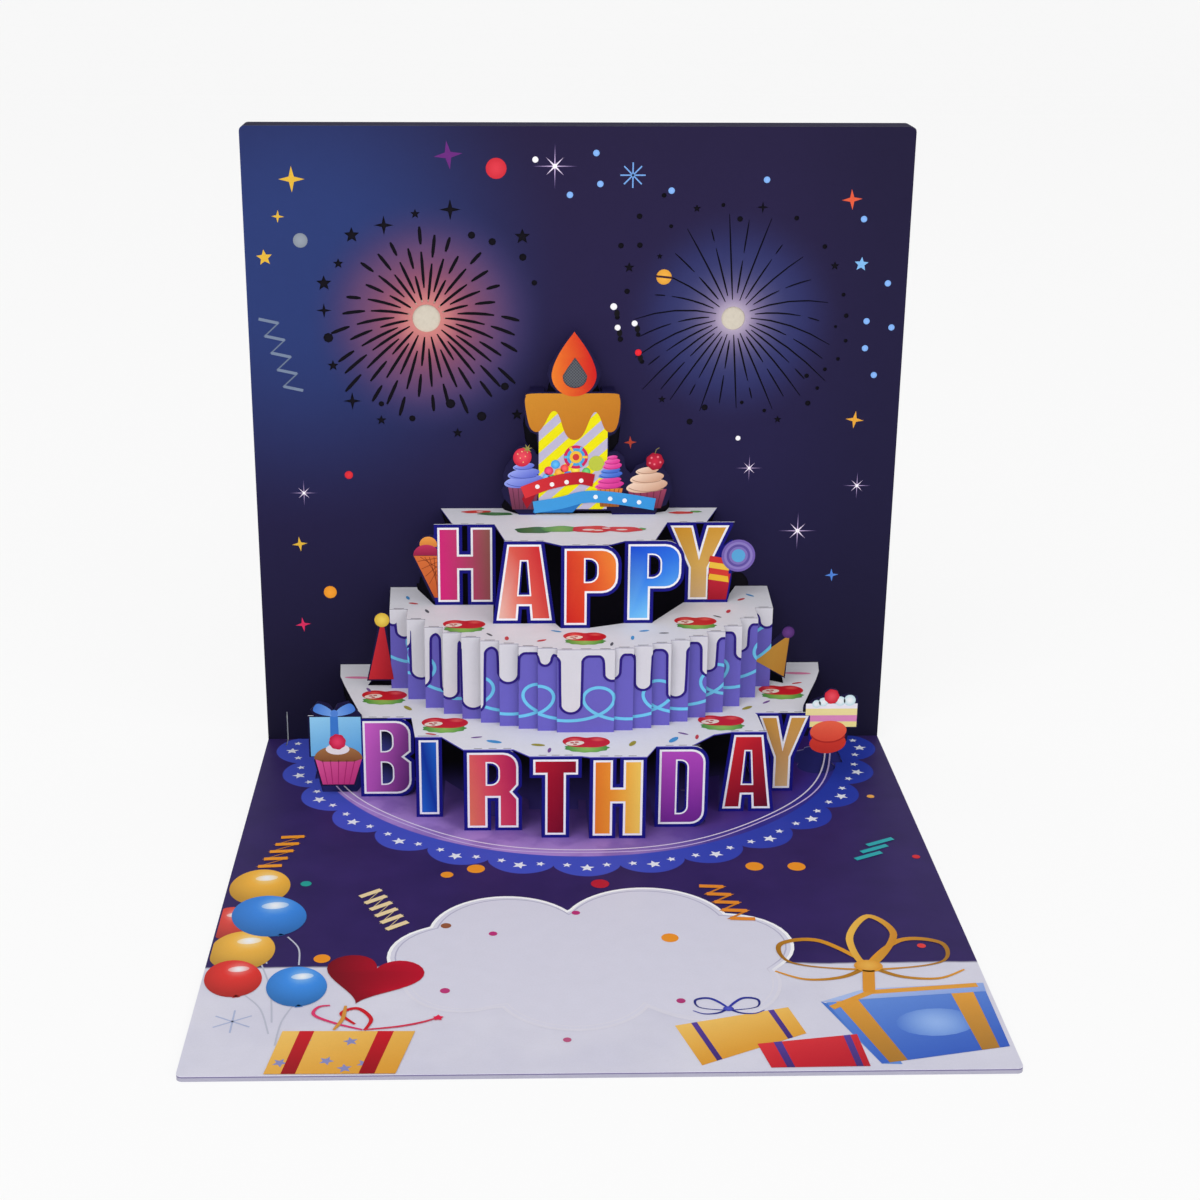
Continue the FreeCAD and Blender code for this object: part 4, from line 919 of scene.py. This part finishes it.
def base_print():
    sheet = Print("base_print")
    middle, reach = cloud_outline()
    cloud = polar(middle, reach, 4)
    sheet.add(cloud, level(), (218, 217, 232), 0)
    a = 2 * np.pi * np.arange(len(reach)) / len(reach) + np.pi / 2
    ray = np.column_stack([np.cos(a), np.sin(a)])
    for inset, width, ink in ((0.35, 0.7, (250, 250, 252)), (1.7, 0.3, (184, 182, 206))):
        path = middle + ray * (reach - inset)[:, None]
        shape = band(path, width, True)
        fade = np.clip((-112.0 - shape[0][:, 1]) / 6.0, 0, 1)
        sheet.add(shape, level(), blend(fade, [ink, (222, 220, 232)]), 1)

    for points in ([(-62.3, -101.2), (-59.6, -106.0), (-58.9, -112.6)],
                   [(-73.0, -99.5), (-67.5, -104.5), (-65.4, -112.0)],
                   [(-69.0, -123.2), (-64.8, -129.0), (-62.2, -138.0)],
                   [(-58.6, -128.0), (-60.2, -134.0), (-60.6, -142.0)],
                   [(-66.5, -112.0), (-63.6, -122.0), (-62.0, -134.0)]):
        string = smooth(points, 10, False)
        sheet.add(band(string, 0.34), level(), (190, 192, 208), 1)
    for k, (x, y, rx, ry, turn, ink) in enumerate((
            (-70.5, -78.5, 6.8, 7.6, 0, (244, 182, 66)), (-75.0, -94.5, 5.0, 6.5, 0, (222, 74, 66)),
            (-71.0, -106.0, 7.0, 7.6, 0, (242, 184, 74)), (-67.5, -91.5, 8.0, 8.6, 24, (62, 138, 228)),
            (-71.6, -117.0, 5.9, 6.8, 14, (226, 54, 48)), (-58.7, -120.2, 6.2, 7.2, 10, (66, 144, 232)))):
        balloon(sheet, x, y, rx, ry, turn, ink, 2 + k)

    t = 2 * np.pi * np.arange(48) / 48
    heart = np.column_stack([16 * np.sin(t) ** 3,
                             13 * np.cos(t) - 5 * np.cos(2 * t) - 2 * np.cos(3 * t) - np.cos(4 * t)]) * 0.62
    c, s = math.cos(math.radians(-14)), math.sin(math.radians(-14))
    heart = heart @ np.array([[c, s], [-s, c]]) + (-44.0, -117.5)
    shape = filled(heart)
    sheet.add(shape, level(), [(118, 20, 30), (142, 20, 34), (192, 24, 46), (186, 22, 44)], 9, (1, 0.15))

    gold, gold_dark, red, violet = (244, 198, 104), (222, 156, 56), (206, 34, 44), (92, 66, 156)
    parcel(sheet, [(-59.6, -137.2), (-34.6, -137.6), (-37.6, -151.8), (-61.6, -151.6)], gold, gold_dark,
           [(0.13, 0.24), (0.72, 0.84)], red, 10)
    for x, y in ((-55.2, -141.0), (-50.5, -147.5), (-46.5, -141.0), (-43.5, -148.5), (-59.0, -148.0),
                 (-47.0, -150.0)):
        sheet.add(star((x, y), 5, 1.5, turn=9.0 * x), level(), (140, 142, 190), 10.5)
    for k, (points, width, ink) in enumerate((
            ([(-44.2, -137.2), (-43.2, -133.2), (-46.0, -129.4), (-49.0, -131.2), (-46.2, -135.0)], 0.9, red),
            ([(-44.6, -137.0), (-50.0, -134.6), (-54.2, -131.6), (-53.6, -128.8), (-51.4, -128.2)], 0.7,
             (222, 60, 110)),
            ([(-44.2, -137.0), (-38.0, -136.0), (-33.6, -134.6), (-30.6, -133.0)], 0.6, (216, 56, 84)),
            ([(-50.0, -137.0), (-48.6, -133.0), (-48.4, -128.4)], 0.8, (214, 150, 66)))):
        curl = smooth(points, 8, False)
        swell = 0.6 + 0.4 * np.sin(np.linspace(0, np.pi, len(curl)))
        sheet.add(band(curl, width * swell), level(), ink, 12 + 0.4 * k)
    sheet.add(star((-30.4, -133.0), 5, 1.1, 0.6), level(), (226, 40, 76), 13)

    parcel(sheet, [(43.6, -128.2), (51.4, -133.6), (55.4, -150.2), (51.6, -150.0)],
           (70, 118, 206), (96, 140, 214), [], gold, 2)
    parcel(sheet, [(44.6, -128.6), (76.6, -124.4), (76.6, -144.6), (51.6, -150.0)],
           (104, 146, 222), (52, 92, 190), [(0.06, 0.20), (0.78, 0.92)], (228, 160, 62), 3)
    patch = dot((64.5, -136.0), 6.0, (1.3, 0.8), 8.0, 4)
    sheet.add(patch, level(), [(150, 184, 240), (82, 124, 208)], 3.5, ROUND)
    parcel(sheet, [(43.6, -128.4), (52.8, -123.8), (76.8, -121.8), (76.6, -125.0)],
           (176, 196, 238), (136, 164, 226), [], gold, 5)
    sheet.add(band([(45.4, -130.6), (53.8, -125.0), (75.4, -122.6)], 1.5), level(), (226, 158, 62), 6)
    bow(sheet, 55.2, -115.0, 16.5, (228, 156, 46), 7, 0.075)
    upper_loop = smooth([(55.2, -115.0), (53.2, -104.0), (58.6, -94.6), (62.6, -102.5)], 10)
    sheet.add(band(upper_loop, 1.5, True), level(), [(240, 190, 84), (206, 138, 40)], 10, (1, -0.3))
    knot = dot((55.2, -114.8), 2.3, (1.2, 0.9), rings=2)
    sheet.add(knot, level(), [(236, 180, 80), (222, 150, 50)], 11, ROUND)
    sheet.add(band([(55.2, -115.0), (54.4, -120.0), (53.6, -125.0)], 2.4), level(), (222, 150, 50), 8)

    parcel(sheet, [(14.6, -136.4), (37.0, -130.2), (39.2, -139.5), (18.5, -150.0)], gold, gold_dark,
           [(0.14, 0.19), (0.82, 0.87)], violet, 2)
    bow(sheet, 25.4, -130.6, 6.0, (56, 64, 170), 6, 0.1)
    parcel(sheet, [(29.5, -143.0), (48.7, -140.0), (49.4, -150.8), (31.1, -151.0)],
           (222, 58, 64), (184, 28, 44), [(0.16, 0.24), (0.86, 0.93)], violet, 5)

    for first, last, strokes, reach, ink in (
            ((-68.4, -55.8), (-72.0, -70.0), 5, (5.2, 0.4), (238, 152, 40)),
            ((-48.6, -84.4), (-42.2, -98.6), 6, (4.3, 3.2), (236, 212, 164)),
            ((64.2, -61.8), (60.4, -68.6), 3, (6.4, 3.4), (44, 168, 176)),
            ((24.4, -80.6), (29.6, -95.0), 5, (5.2, -0.4), (232, 140, 44))):
        scribble(sheet, level(), first, last, strokes, reach, 1.35, ink, 9)
    marks = [(-54.5, -110.2, 1.7, ORANGE), (-30.3, -74.4, 1.4, ORANGE), (-24.0, -71.7, 2.0, ORANGE),
             (37.5, -71.5, 2.0, ORANGE), (46.8, -71.7, 2.0, ORANGE), (16.3, -102.9, 1.8, ORANGE),
             (3.0, -79.1, 2.0, (186, 28, 52)), (74.2, -67.4, 0.9, RED), (-60.7, -78.1, 1.2, (40, 160, 150)),
             (-20.1, -100.6, 0.9, (190, 50, 120)), (-29.4, -123.0, 1.0, (190, 60, 120)),
             (-2.7, -92.0, 0.9, (190, 50, 120)), (16.5, -127.5, 0.9, (180, 60, 120)),
             (-6.0, -141.0, 0.8, (190, 90, 130)), (-29.9, -97.1, 1.1, (150, 90, 60)),
             (69.5, -36.0, 0.9, (236, 170, 80)), (67.5, -107.0, 0.9, (226, 60, 60))]
    for x, y, r, ink in marks:
        sheet.add(dot((x, y), r), level(), ink, 3)
    for turn in range(0, 180, 60):
        c, s = 4.0 * math.cos(math.radians(turn + 30)), 4.0 * math.sin(math.radians(turn + 30))
        sheet.add(band([(-69.5 - c, -133.5 - s), (-69.5 + c, -133.5 + s)], 0.35), level(), (176, 186, 216), 1)
    return sheet.finish(INK)


# Figures beside the letters, and the candle

def raspberry(centre, r, n, lobes, stretch=(1.0, 1.0)):
    """Round berry whose radius waves a little."""
    return polar(centre, r * (1 + 0.04 * np.sin(lobes * np.linspace(0, 2 * np.pi, n, False))), 3, stretch)


def figure_print():
    sheet = Print("figure_print")

    at = upright(SIDE_D)
    wrap = ruled([(-63.2, 10.6), (-51.3, 10.6)], [(-63.2, 20.6), (-51.3, 20.6)], 4)
    sheet.add(wrap, at, [(150, 208, 242), (92, 164, 222)], 0, (0.3, -1))
    sheet.add(ruled([(-58.6, 10.6), (-56.4, 10.6)], [(-58.4, 20.8), (-56.6, 20.8)]), at, (62, 122, 204), 1)
    for side in (-1, 1):
        loop = smooth([(-57.4, 20.9), (-57.4 + side * 1.2, 22.8), (-57.4 + side * 3.8, 24.0),
                       (-57.4 + side * 4.9, 22.3), (-57.4 + side * 3.0, 21.2)], 6)
        shape = filled(loop[::side])
        sheet.add(shape, at, [(124, 170, 236), (70, 122, 208)], 2, (side, 0.4))
    sheet.add(dot((-57.4, 21.5), 0.9), at, (84, 134, 214), 3)

    cup = ruled([(-60.7, 3.3), (-53.3, 3.3)], [(-62.2, 9.8), (-51.3, 9.8)], 6)
    sheet.add(cup, at, [(226, 92, 156), (188, 52, 118)], 4, (0.5, -1))
    for share in (0.15, 0.32, 0.5, 0.68, 0.85):
        foot, head = np.array((-60.7 + 7.4 * share, 3.4)), np.array((-62.2 + 10.9 * share, 9.6))
        sheet.add(band([foot, head], 0.2), at, (170, 44, 104), 5)
    top = filled(np.vstack([arc((-56.8, 9.9), 5.7, 3.4, 0, 180, 18), [(-60.5, 9.2), (-53.1, 9.2)]]))
    sheet.add(top, at, [(176, 122, 76), (136, 84, 52)], 5)
    cream = dot((-56.9, 12.4), 2.8, (1.0, 0.5))
    sheet.add(cream, at, (236, 226, 230), 6)
    berry = raspberry((-56.9, 14.3), 1.95, 32, 8)
    sheet.add(berry, at, [(234, 66, 106), (196, 30, 66)], 7, ROUND)

    at = upright(SLICE_D)
    for z0, z1, ink in ((16.6, 18.0, (238, 222, 150)), (18.0, 19.6, (222, 140, 190)),
                        (19.6, 21.3, (240, 224, 158)), (21.3, 22.6, (238, 234, 244))):
        left = 54.6 if z1 < 21 else 53.5
        sheet.add(ruled([(left, z0), (65.7, z0)], [(left, z1), (65.7, z1)]), at, ink, 0)
    for x, z, r in ((56.0, 22.5, 1.0), (57.6, 23.0, 1.1), (61.6, 23.2, 1.2), (63.8, 23.4, 1.4)):
        puff = dot((x, z), r, rings=2)
        sheet.add(puff, at, [(250, 250, 252), (196, 226, 232)], 1, ROUND)
    berry = raspberry((59.5, 24.4), 1.75, 28, 7, (1, 1.05))
    sheet.add(berry, at, [(236, 84, 98), (206, 34, 52)], 2, ROUND)
    for z, first, last in ((12.5, (214, 62, 48), (196, 52, 44)), (15.5, (238, 104, 76), (222, 74, 56))):
        half = dot((59.1, z), 4.35, (1.0, 0.62), 4.0, 4, 32)
        sheet.add(half, at, [first, last], 3 if z < 14 else 4)
    sheet.add(band(arc((59.1, 15.3), 4.25, 2.6, 200, 340, 20), 0.35), at, (176, 44, 40), 5)

    at = upright(HAT_D)
    cone = ruled([(-50.5, 22.7), (-44.4, 22.7)], [(-47.4, 36.3), (-46.4, 36.3)], 6)
    sheet.add(cone, at, [(196, 44, 54), (160, 28, 42)], 3, (1, -0.2))
    ball = dot((-46.9, 38.0), 1.8, rings=3)
    sheet.add(ball, at, [(242, 214, 96), (216, 178, 60)], 4, ROUND)
    cone = ruled([(42.8, 27.3), (50.4, 22.9)], [(50.6, 33.2), (51.3, 33.0)], 6)
    sheet.add(cone, at, [(204, 152, 66), (176, 124, 50)], 3, (1, -0.2))
    ball = dot((51.0, 34.4), 1.5, rings=3)
    sheet.add(ball, at, [(104, 62, 132), (78, 44, 106)], 4, ROUND)

    at = upright(CONE_D)
    wafer = filled([(-34.3, 42.6), (-33.5, 42.6), (-33.5, 53.2), (-39.1, 53.2)])
    sheet.add(wafer, at, [(214, 112, 58), (190, 88, 44)], 0)
    for k in range(4):
        for line in ([(-38.2 + 0.9 * k, 51.8 - 1.9 * k), (-33.6, 52.6 - 1.0 * k)],
                     [(-37.6 + 1.1 * k, 52.9), (-33.6, 50.2 - 2.16 * k)]):
            sheet.add(band(line, 0.16), at, (150, 66, 36), 1)
    scoop = filled(np.vstack([arc((-36.1, 53.4), 3.1, 2.6, 35, 180, 14), [(-39.2, 53.3), (-33.5, 53.3)]]))
    sheet.add(scoop, at, [(192, 54, 92), (150, 34, 72)], 2)
    scoop = filled(np.vstack([arc((-35.6, 56.0), 2.1, 2.0, 0, 180, 12), [(-37.5, 55.4), (-33.6, 55.4)]]))
    sheet.add(scoop, at, [(236, 158, 74), (212, 126, 56)], 1)

    at = upright(SWEETS_D)
    sweet = filled([(31.5, 41.4), (36.1, 41.4), (37.0, 48.0), (31.5, 48.0)])
    sheet.add(sweet, at, [(196, 40, 58), (160, 26, 44)], 0)
    for k, ink in enumerate(((236, 186, 56), (212, 60, 52), (238, 196, 70), (206, 52, 50))):
        low = 46.6 + 1.5 * k
        stripe = ruled([(31.6, low), (36.6, low - 0.8)], [(31.9, low + 1.5), (36.4, low + 0.7)])
        sheet.add(stripe, at, ink, 1 + k)
    rings = ((118, 98, 176), (140, 124, 192), (98, 82, 158), (128, 114, 186), (92, 166, 216))
    for k, ink in enumerate(rings):
        sheet.add(dot((38.7, 52.6), 4.05 - 0.6 * k, n=32), at, ink, 6 + k)
    return sheet.finish(INK)


def swirl(sheet, at, x, z, w, h, inks, layer):
    """Piped cream: three rolls, each narrower than the one below and tilted, with a dark line under it."""
    for k, (share, up) in enumerate(((1.0, 0.0), (0.82, 0.34), (0.55, 0.66))):
        roll = dot((x, z + up * h), 0.5 * w * share, (1.0, 0.55 * h / w), 8.0, 4, 28)
        sheet.add(roll, at, inks, layer + 0.6 * k, (0.5, -1))
        under = arc((x, z + up * h), 0.46 * w * share, 0.24 * h * share, 200, 330, 14)
        sheet.add(band(under, 0.18), at, toned(inks[-1], 0.85), layer + 0.6 * k + 0.3)


def flame():
    """Drop: a half circle below, and sides that draw in to the tip as the square of the height."""
    t = np.linspace(0, 1, 18)[:-1]
    side = 5.3 * (1 - t ** 1.7)
    z = 95.4 + 10.2 * t
    right = np.column_stack([-0.9 + side * np.sqrt(1 - 0.15 * t), z])
    low = arc((-0.9, 95.4), 5.3, 5.2, 180, 360, 22)[:-1]
    left = np.column_stack([-0.9 - side * np.sqrt(1 - 0.15 * t), z])[::-1]
    return np.vstack([low, right, [(-0.9, 105.7)], left[:-1]])


def candle_print():
    sheet = Print("candle_print")
    at = upright(CANDLE_D)
    window = [(-0.7, 99.6), (-2.4, 97.2), (-3.6, 95.2)] + arc((-0.7, 94.9), 2.9, 2.7, 180, 360, 9).tolist() + \
        [(2.2, 95.2), (1.0, 97.2)]

    foot, head, x = 62.4, 87.4, np.linspace(-9.2, 7.2, 30)
    sheet.add(ruled([(x[0], foot), (x[0], head)], [(x[-1], foot), (x[-1], head)]), at, (238, 228, 20), 0)
    for k in range(9):
        low, high = (np.clip(45.6 + 5.6 * k + rise + 0.92 * (x - x[0]), foot, head) for rise in (0.0, 2.7))
        sheet.add(ruled(np.column_stack([x, low]), np.column_stack([x, high])), at, (190, 184, 210), 0.5)

    wax = smooth([(-12.4, 88.0), (-12.3, 90.0), (-11.0, 90.9), (-1.0, 90.9), (8.6, 90.9), (9.9, 90.0),
                  (10.1, 87.6), (9.7, 84.0), (8.9, 82.0), (7.5, 81.5), (6.3, 82.6), (5.2, 85.4), (4.2, 86.4),
                  (3.2, 85.2), (1.6, 81.4), (0.2, 79.8), (-1.6, 79.8), (-3.0, 81.4), (-4.2, 85.0), (-5.2, 86.6),
                  (-6.4, 86.2), (-8.0, 83.2), (-9.2, 81.7), (-10.6, 81.9), (-11.6, 83.6)], 5)
    shape = filled(wax[::-1])
    sheet.add(shape, at, [(208, 140, 46), (190, 116, 34)], 2, (0.4, -1))
    shape = filled(flame(), [window])
    sheet.add(shape, at, [(238, 128, 44), (206, 32, 32)], 3, (1, 0.1))

    for x, z, r, ink in (
            (-6.8, 72.0, 1.1, (214, 44, 90)), (-5.2, 73.6, 1.1, (60, 150, 222)),
            (-4.4, 71.6, 1.0, (240, 150, 40)), (-6.0, 70.0, 1.1, (84, 176, 90)),
            (-3.0, 72.6, 1.0, (226, 60, 60)), (-2.2, 70.8, 1.1, (64, 120, 210)),
            (-0.4, 72.2, 1.1, (236, 190, 50)), (0.8, 70.4, 1.1, (226, 60, 110)),
            (2.2, 71.8, 1.0, (84, 176, 90)), (-4.0, 69.4, 1.0, (236, 200, 60)),
            (-7.4, 70.4, 0.9, (90, 160, 226)), (3.2, 70.0, 1.0, (70, 150, 220))):
        bead = dot((x, z), r, rings=2, n=16)
        sheet.add(bead, at, [toned(ink, 1.0, 50), ink], 4, ROUND)
    rings = ((2.9, (206, 40, 92)), (2.2, (70, 160, 220)), (1.5, (240, 190, 60)), (0.8, (206, 60, 60)))
    for k, (r, ink) in enumerate(rings):
        sheet.add(dot((-0.3, 75.4), r, n=28), at, ink, 5 + k)
    for turn in range(0, 360, 60):
        c, s = math.cos(math.radians(turn)), math.sin(math.radians(turn))
        sheet.add(band([(-0.3 + 1.6 * c, 75.4 + 1.6 * s), (-0.3 + 2.8 * c, 75.4 + 2.8 * s)], 0.6), at,
                  (92, 184, 226) if turn % 120 else (238, 200, 70), 9)
    sheet.add(dot((4.6, 73.8), 1.9, rings=2), at, (190, 200, 70), 4)

    for x0, x1, foot, head, ink in ((-16.6, -9.0, 62.4, 68.4, (146, 72, 104)),
                                    (4.8, 11.0, 63.0, 67.6, (226, 132, 62)),
                                    (12.2, 21.6, 62.6, 67.4, (154, 66, 96))):
        pinch = 0.14 * (x1 - x0)
        cup = ruled([(x0 + pinch, foot), (x1 - pinch, foot)], [(x0, head), (x1, head)], 3)
        sheet.add(cup, at, [ink, toned(ink, 0.7)], 4)
        for share in np.linspace(0.14, 0.86, 5):
            low = x0 + pinch + share * (x1 - x0 - 2 * pinch)
            pleat = [(low, foot + 0.1), (x0 + share * (x1 - x0), head - 0.1)]
            sheet.add(band(pleat, 0.18), at, toned(ink, 0.62), 5)
    swirl(sheet, at, -12.8, 69.4, 9.4, 5.6, [(152, 164, 236), (94, 108, 206)], 6)
    swirl(sheet, at, 7.8, 68.4, 7.0, 3.4, [(238, 92, 172), (206, 50, 140)], 6)
    swirl(sheet, at, 8.0, 71.0, 5.8, 3.0, [(110, 150, 232), (58, 96, 196)], 8)
    swirl(sheet, at, 8.4, 73.2, 4.6, 3.2, [(240, 110, 182), (214, 52, 140)], 10)
    swirl(sheet, at, 16.8, 68.2, 10.0, 5.8, [(240, 212, 190), (206, 160, 134)], 7)
    a = 2 * np.pi * np.arange(32) / 32
    berry = polar((-13.0, 75.6), 2.2 * (1 - 0.1 * np.cos(a)), 3, (0.98, 1.06), -28.0)
    sheet.add(berry, at, [(236, 80, 96), (198, 32, 58)], 12, ROUND)
    sheet.add(star((-11.9, 77.5), 7, 1.25, 0.34, -28.0), at, (150, 140, 72), 13)
    for x, z in ((-14.2, 76.2), (-13.2, 76.8), (-13.6, 75.2), (-12.4, 75.6), (-12.9, 74.2), (-11.9, 76.6)):
        sheet.add(dot((x, z), 0.17, n=8), at, (244, 190, 140), 13)
    berry = polar((18.6, 74.3), 2.1 * (1 + 0.05 * np.sin(7 * a)), 3)
    sheet.add(berry, at, [(206, 44, 70), (150, 18, 44)], 12, ROUND)
    for x, z in ((17.8, 75.2), (19.3, 75.4), (18.5, 73.6), (19.9, 74.1), (17.4, 73.9)):
        sheet.add(dot((x, z), 0.34, rings=2, n=12), at, [(240, 150, 160), (196, 44, 66)], 13, ROUND)
    sheet.add(band(smooth([(18.6, 76.2), (18.9, 77.2), (19.6, 77.7)], 6, False), 0.22), at, (120, 110, 70), 13)

    red = smooth([(-13.0, 66.6), (-6.5, 69.0), (0.0, 70.2), (4.0, 69.6)], 8, False)
    shape = band(red, 3.1)
    sheet.add(shape, at, [(222, 56, 62), (178, 30, 44)], 14, (1, 0))
    sheet.add(filled([(-13.2, 65.0), (-11.6, 67.8), (-9.8, 66.2), (-12.0, 62.6)][::-1]), at, (160, 26, 40), 13)
    blue = smooth([(-10.4, 62.9), (-4.0, 64.0), (2.0, 65.5), (9.0, 65.2), (18.8, 63.6)], 8, False)
    shape = band(blue, 3.0)
    sheet.add(shape, at, [(70, 158, 222), (58, 150, 220)], 15, (1, 0))
    shape = filled([(-10.6, 61.6), (-1.0, 61.6), (1.4, 64.2), (-1.2, 65.6), (-10.0, 63.4)])
    sheet.add(shape, at, (44, 118, 190), 14)
    for x in (-9.5, -6.0, -2.5, 1.0):
        y = 67.9 + 0.16 * (x + 9.5)
        sheet.add(dot((x, y + 0.2 * (x < 0)), 0.55), at, (248, 240, 240), 16)
    for x in (4.5, 8.0, 11.5, 15.0):
        sheet.add(dot((x, 65.5 - 0.13 * (x - 4.5)), 0.55), at, (240, 246, 252), 16)
    return sheet.finish(INK)


letters()
strip_print()
plate_print()
sky_print()
mat_print()
base_print()
figure_print()
candle_print()


# Setting: floor, light and camera

def seen_straight(n):
    """One where a surface is seen by the camera or in a reflection, and zero where it only gives light."""
    path = n.new("ShaderNodeLightPath")
    return n.math("MAXIMUM", path.outputs["Is Camera Ray"],
                  n.math("MAXIMUM", path.outputs["Is Glossy Ray"], path.outputs["Is Transmission Ray"]))


def floor():
    """Wide pale floor, curved up far behind: a flat run, a quarter turn and an upright run, as one profile."""
    reach, back, r = 3.0, 1.6, 0.8
    a = np.radians(np.linspace(0, 90, 13))
    y = np.r_[-reach, back, back + r * np.sin(a[1:]), back + r]
    z = np.r_[0.0, 0.0, r * (1 - np.cos(a[1:])), 3.0]
    x = np.linspace(-4.0, 4.0, 3)
    points = np.column_stack([np.tile(x, len(y)), np.repeat(y, 3), np.repeat(z, 3)])
    mesh = bpy.data.meshes.new("floor")
    mesh.from_pydata(points.tolist(), [], grid_faces(len(y), 3).tolist())
    piece = bpy.data.objects.new("floor", mesh)
    bpy.context.collection.objects.link(piece)
    material, n, bsdf = start("floor")
    bsdf.inputs["Base Color"].default_value = (0.86, 0.86, 0.86, 1)
    bsdf.inputs["Roughness"].default_value = 0.9
    white = n.new("ShaderNodeEmission")
    blend_in = n.new("ShaderNodeMixShader")
    n.put(blend_in.inputs[0], n.math("MULTIPLY", seen_straight(n), FLOOR_WHITE))
    n.put(blend_in.inputs[1], bsdf.outputs[0])
    n.put(blend_in.inputs[2], white.outputs[0])
    out = [x for x in material.node_tree.nodes if x.type == "OUTPUT_MATERIAL"][0]
    n.put(out.inputs["Surface"], blend_in.outputs[0])
    mesh.materials.append(material)


def lamp(name, location, aim, size, power):
    data = bpy.data.lights.new(name, "AREA")
    data.shape, data.size, data.energy = "SQUARE", size, power
    light = bpy.data.objects.new(name, data)
    bpy.context.collection.objects.link(light)
    direction = np.array(aim, float) - np.array(location, float)
    f = direction / np.linalg.norm(direction)
    r = np.cross(f, (0, 0, 1))
    r /= np.linalg.norm(r)
    u = np.cross(r, f)
    light.matrix_world = Matrix([[r[k], u[k], -f[k], location[k]] for k in range(3)] + [[0, 0, 0, 1]])


def camera():
    """Camera at the photograph's angle: turned, tipped down and rolled by the fitted angles, with its shift."""
    yaw, pitch, roll = (math.radians(a) for a in CAMERA_TURNS)
    f = np.array((-math.sin(yaw) * math.cos(pitch), math.cos(yaw) * math.cos(pitch), -math.sin(pitch)))
    r = np.array((math.cos(yaw), math.sin(yaw), 0.0))
    u = np.cross(r, f)
    r, u = math.cos(roll) * r + math.sin(roll) * u, -math.sin(roll) * r + math.cos(roll) * u
    data = bpy.data.cameras.new("camera")
    data.sensor_width, data.lens = 36.0, LENS
    data.shift_x, data.shift_y = SHIFT
    data.clip_start = 0.01
    cam = bpy.data.objects.new("camera", data)
    bpy.context.collection.objects.link(cam)
    cam.matrix_world = Matrix([[r[k], u[k], -f[k], CAMERA_AT[k]] for k in range(3)] + [[0, 0, 0, 1]])
    bpy.context.scene.camera = cam


def world():
    """White to the camera and in reflections; a plain soft light on everything else."""
    w = bpy.data.worlds.new("studio")
    w.use_nodes = True
    bpy.context.scene.world = w
    n = Nodes(w.node_tree)
    back = [x for x in w.node_tree.nodes if x.type == "BACKGROUND"][0]
    more = n.math("MULTIPLY", seen_straight(n), 1.0 - WORLD_LIGHT)
    n.put(back.inputs["Strength"], n.math("ADD", WORLD_LIGHT, more))
    back.inputs["Color"].default_value = (1, 1, 1, 1)


floor()
world()
camera()
for values in LAMPS:
    lamp(*values)
bpy.context.scene.view_settings.view_transform = "Standard"
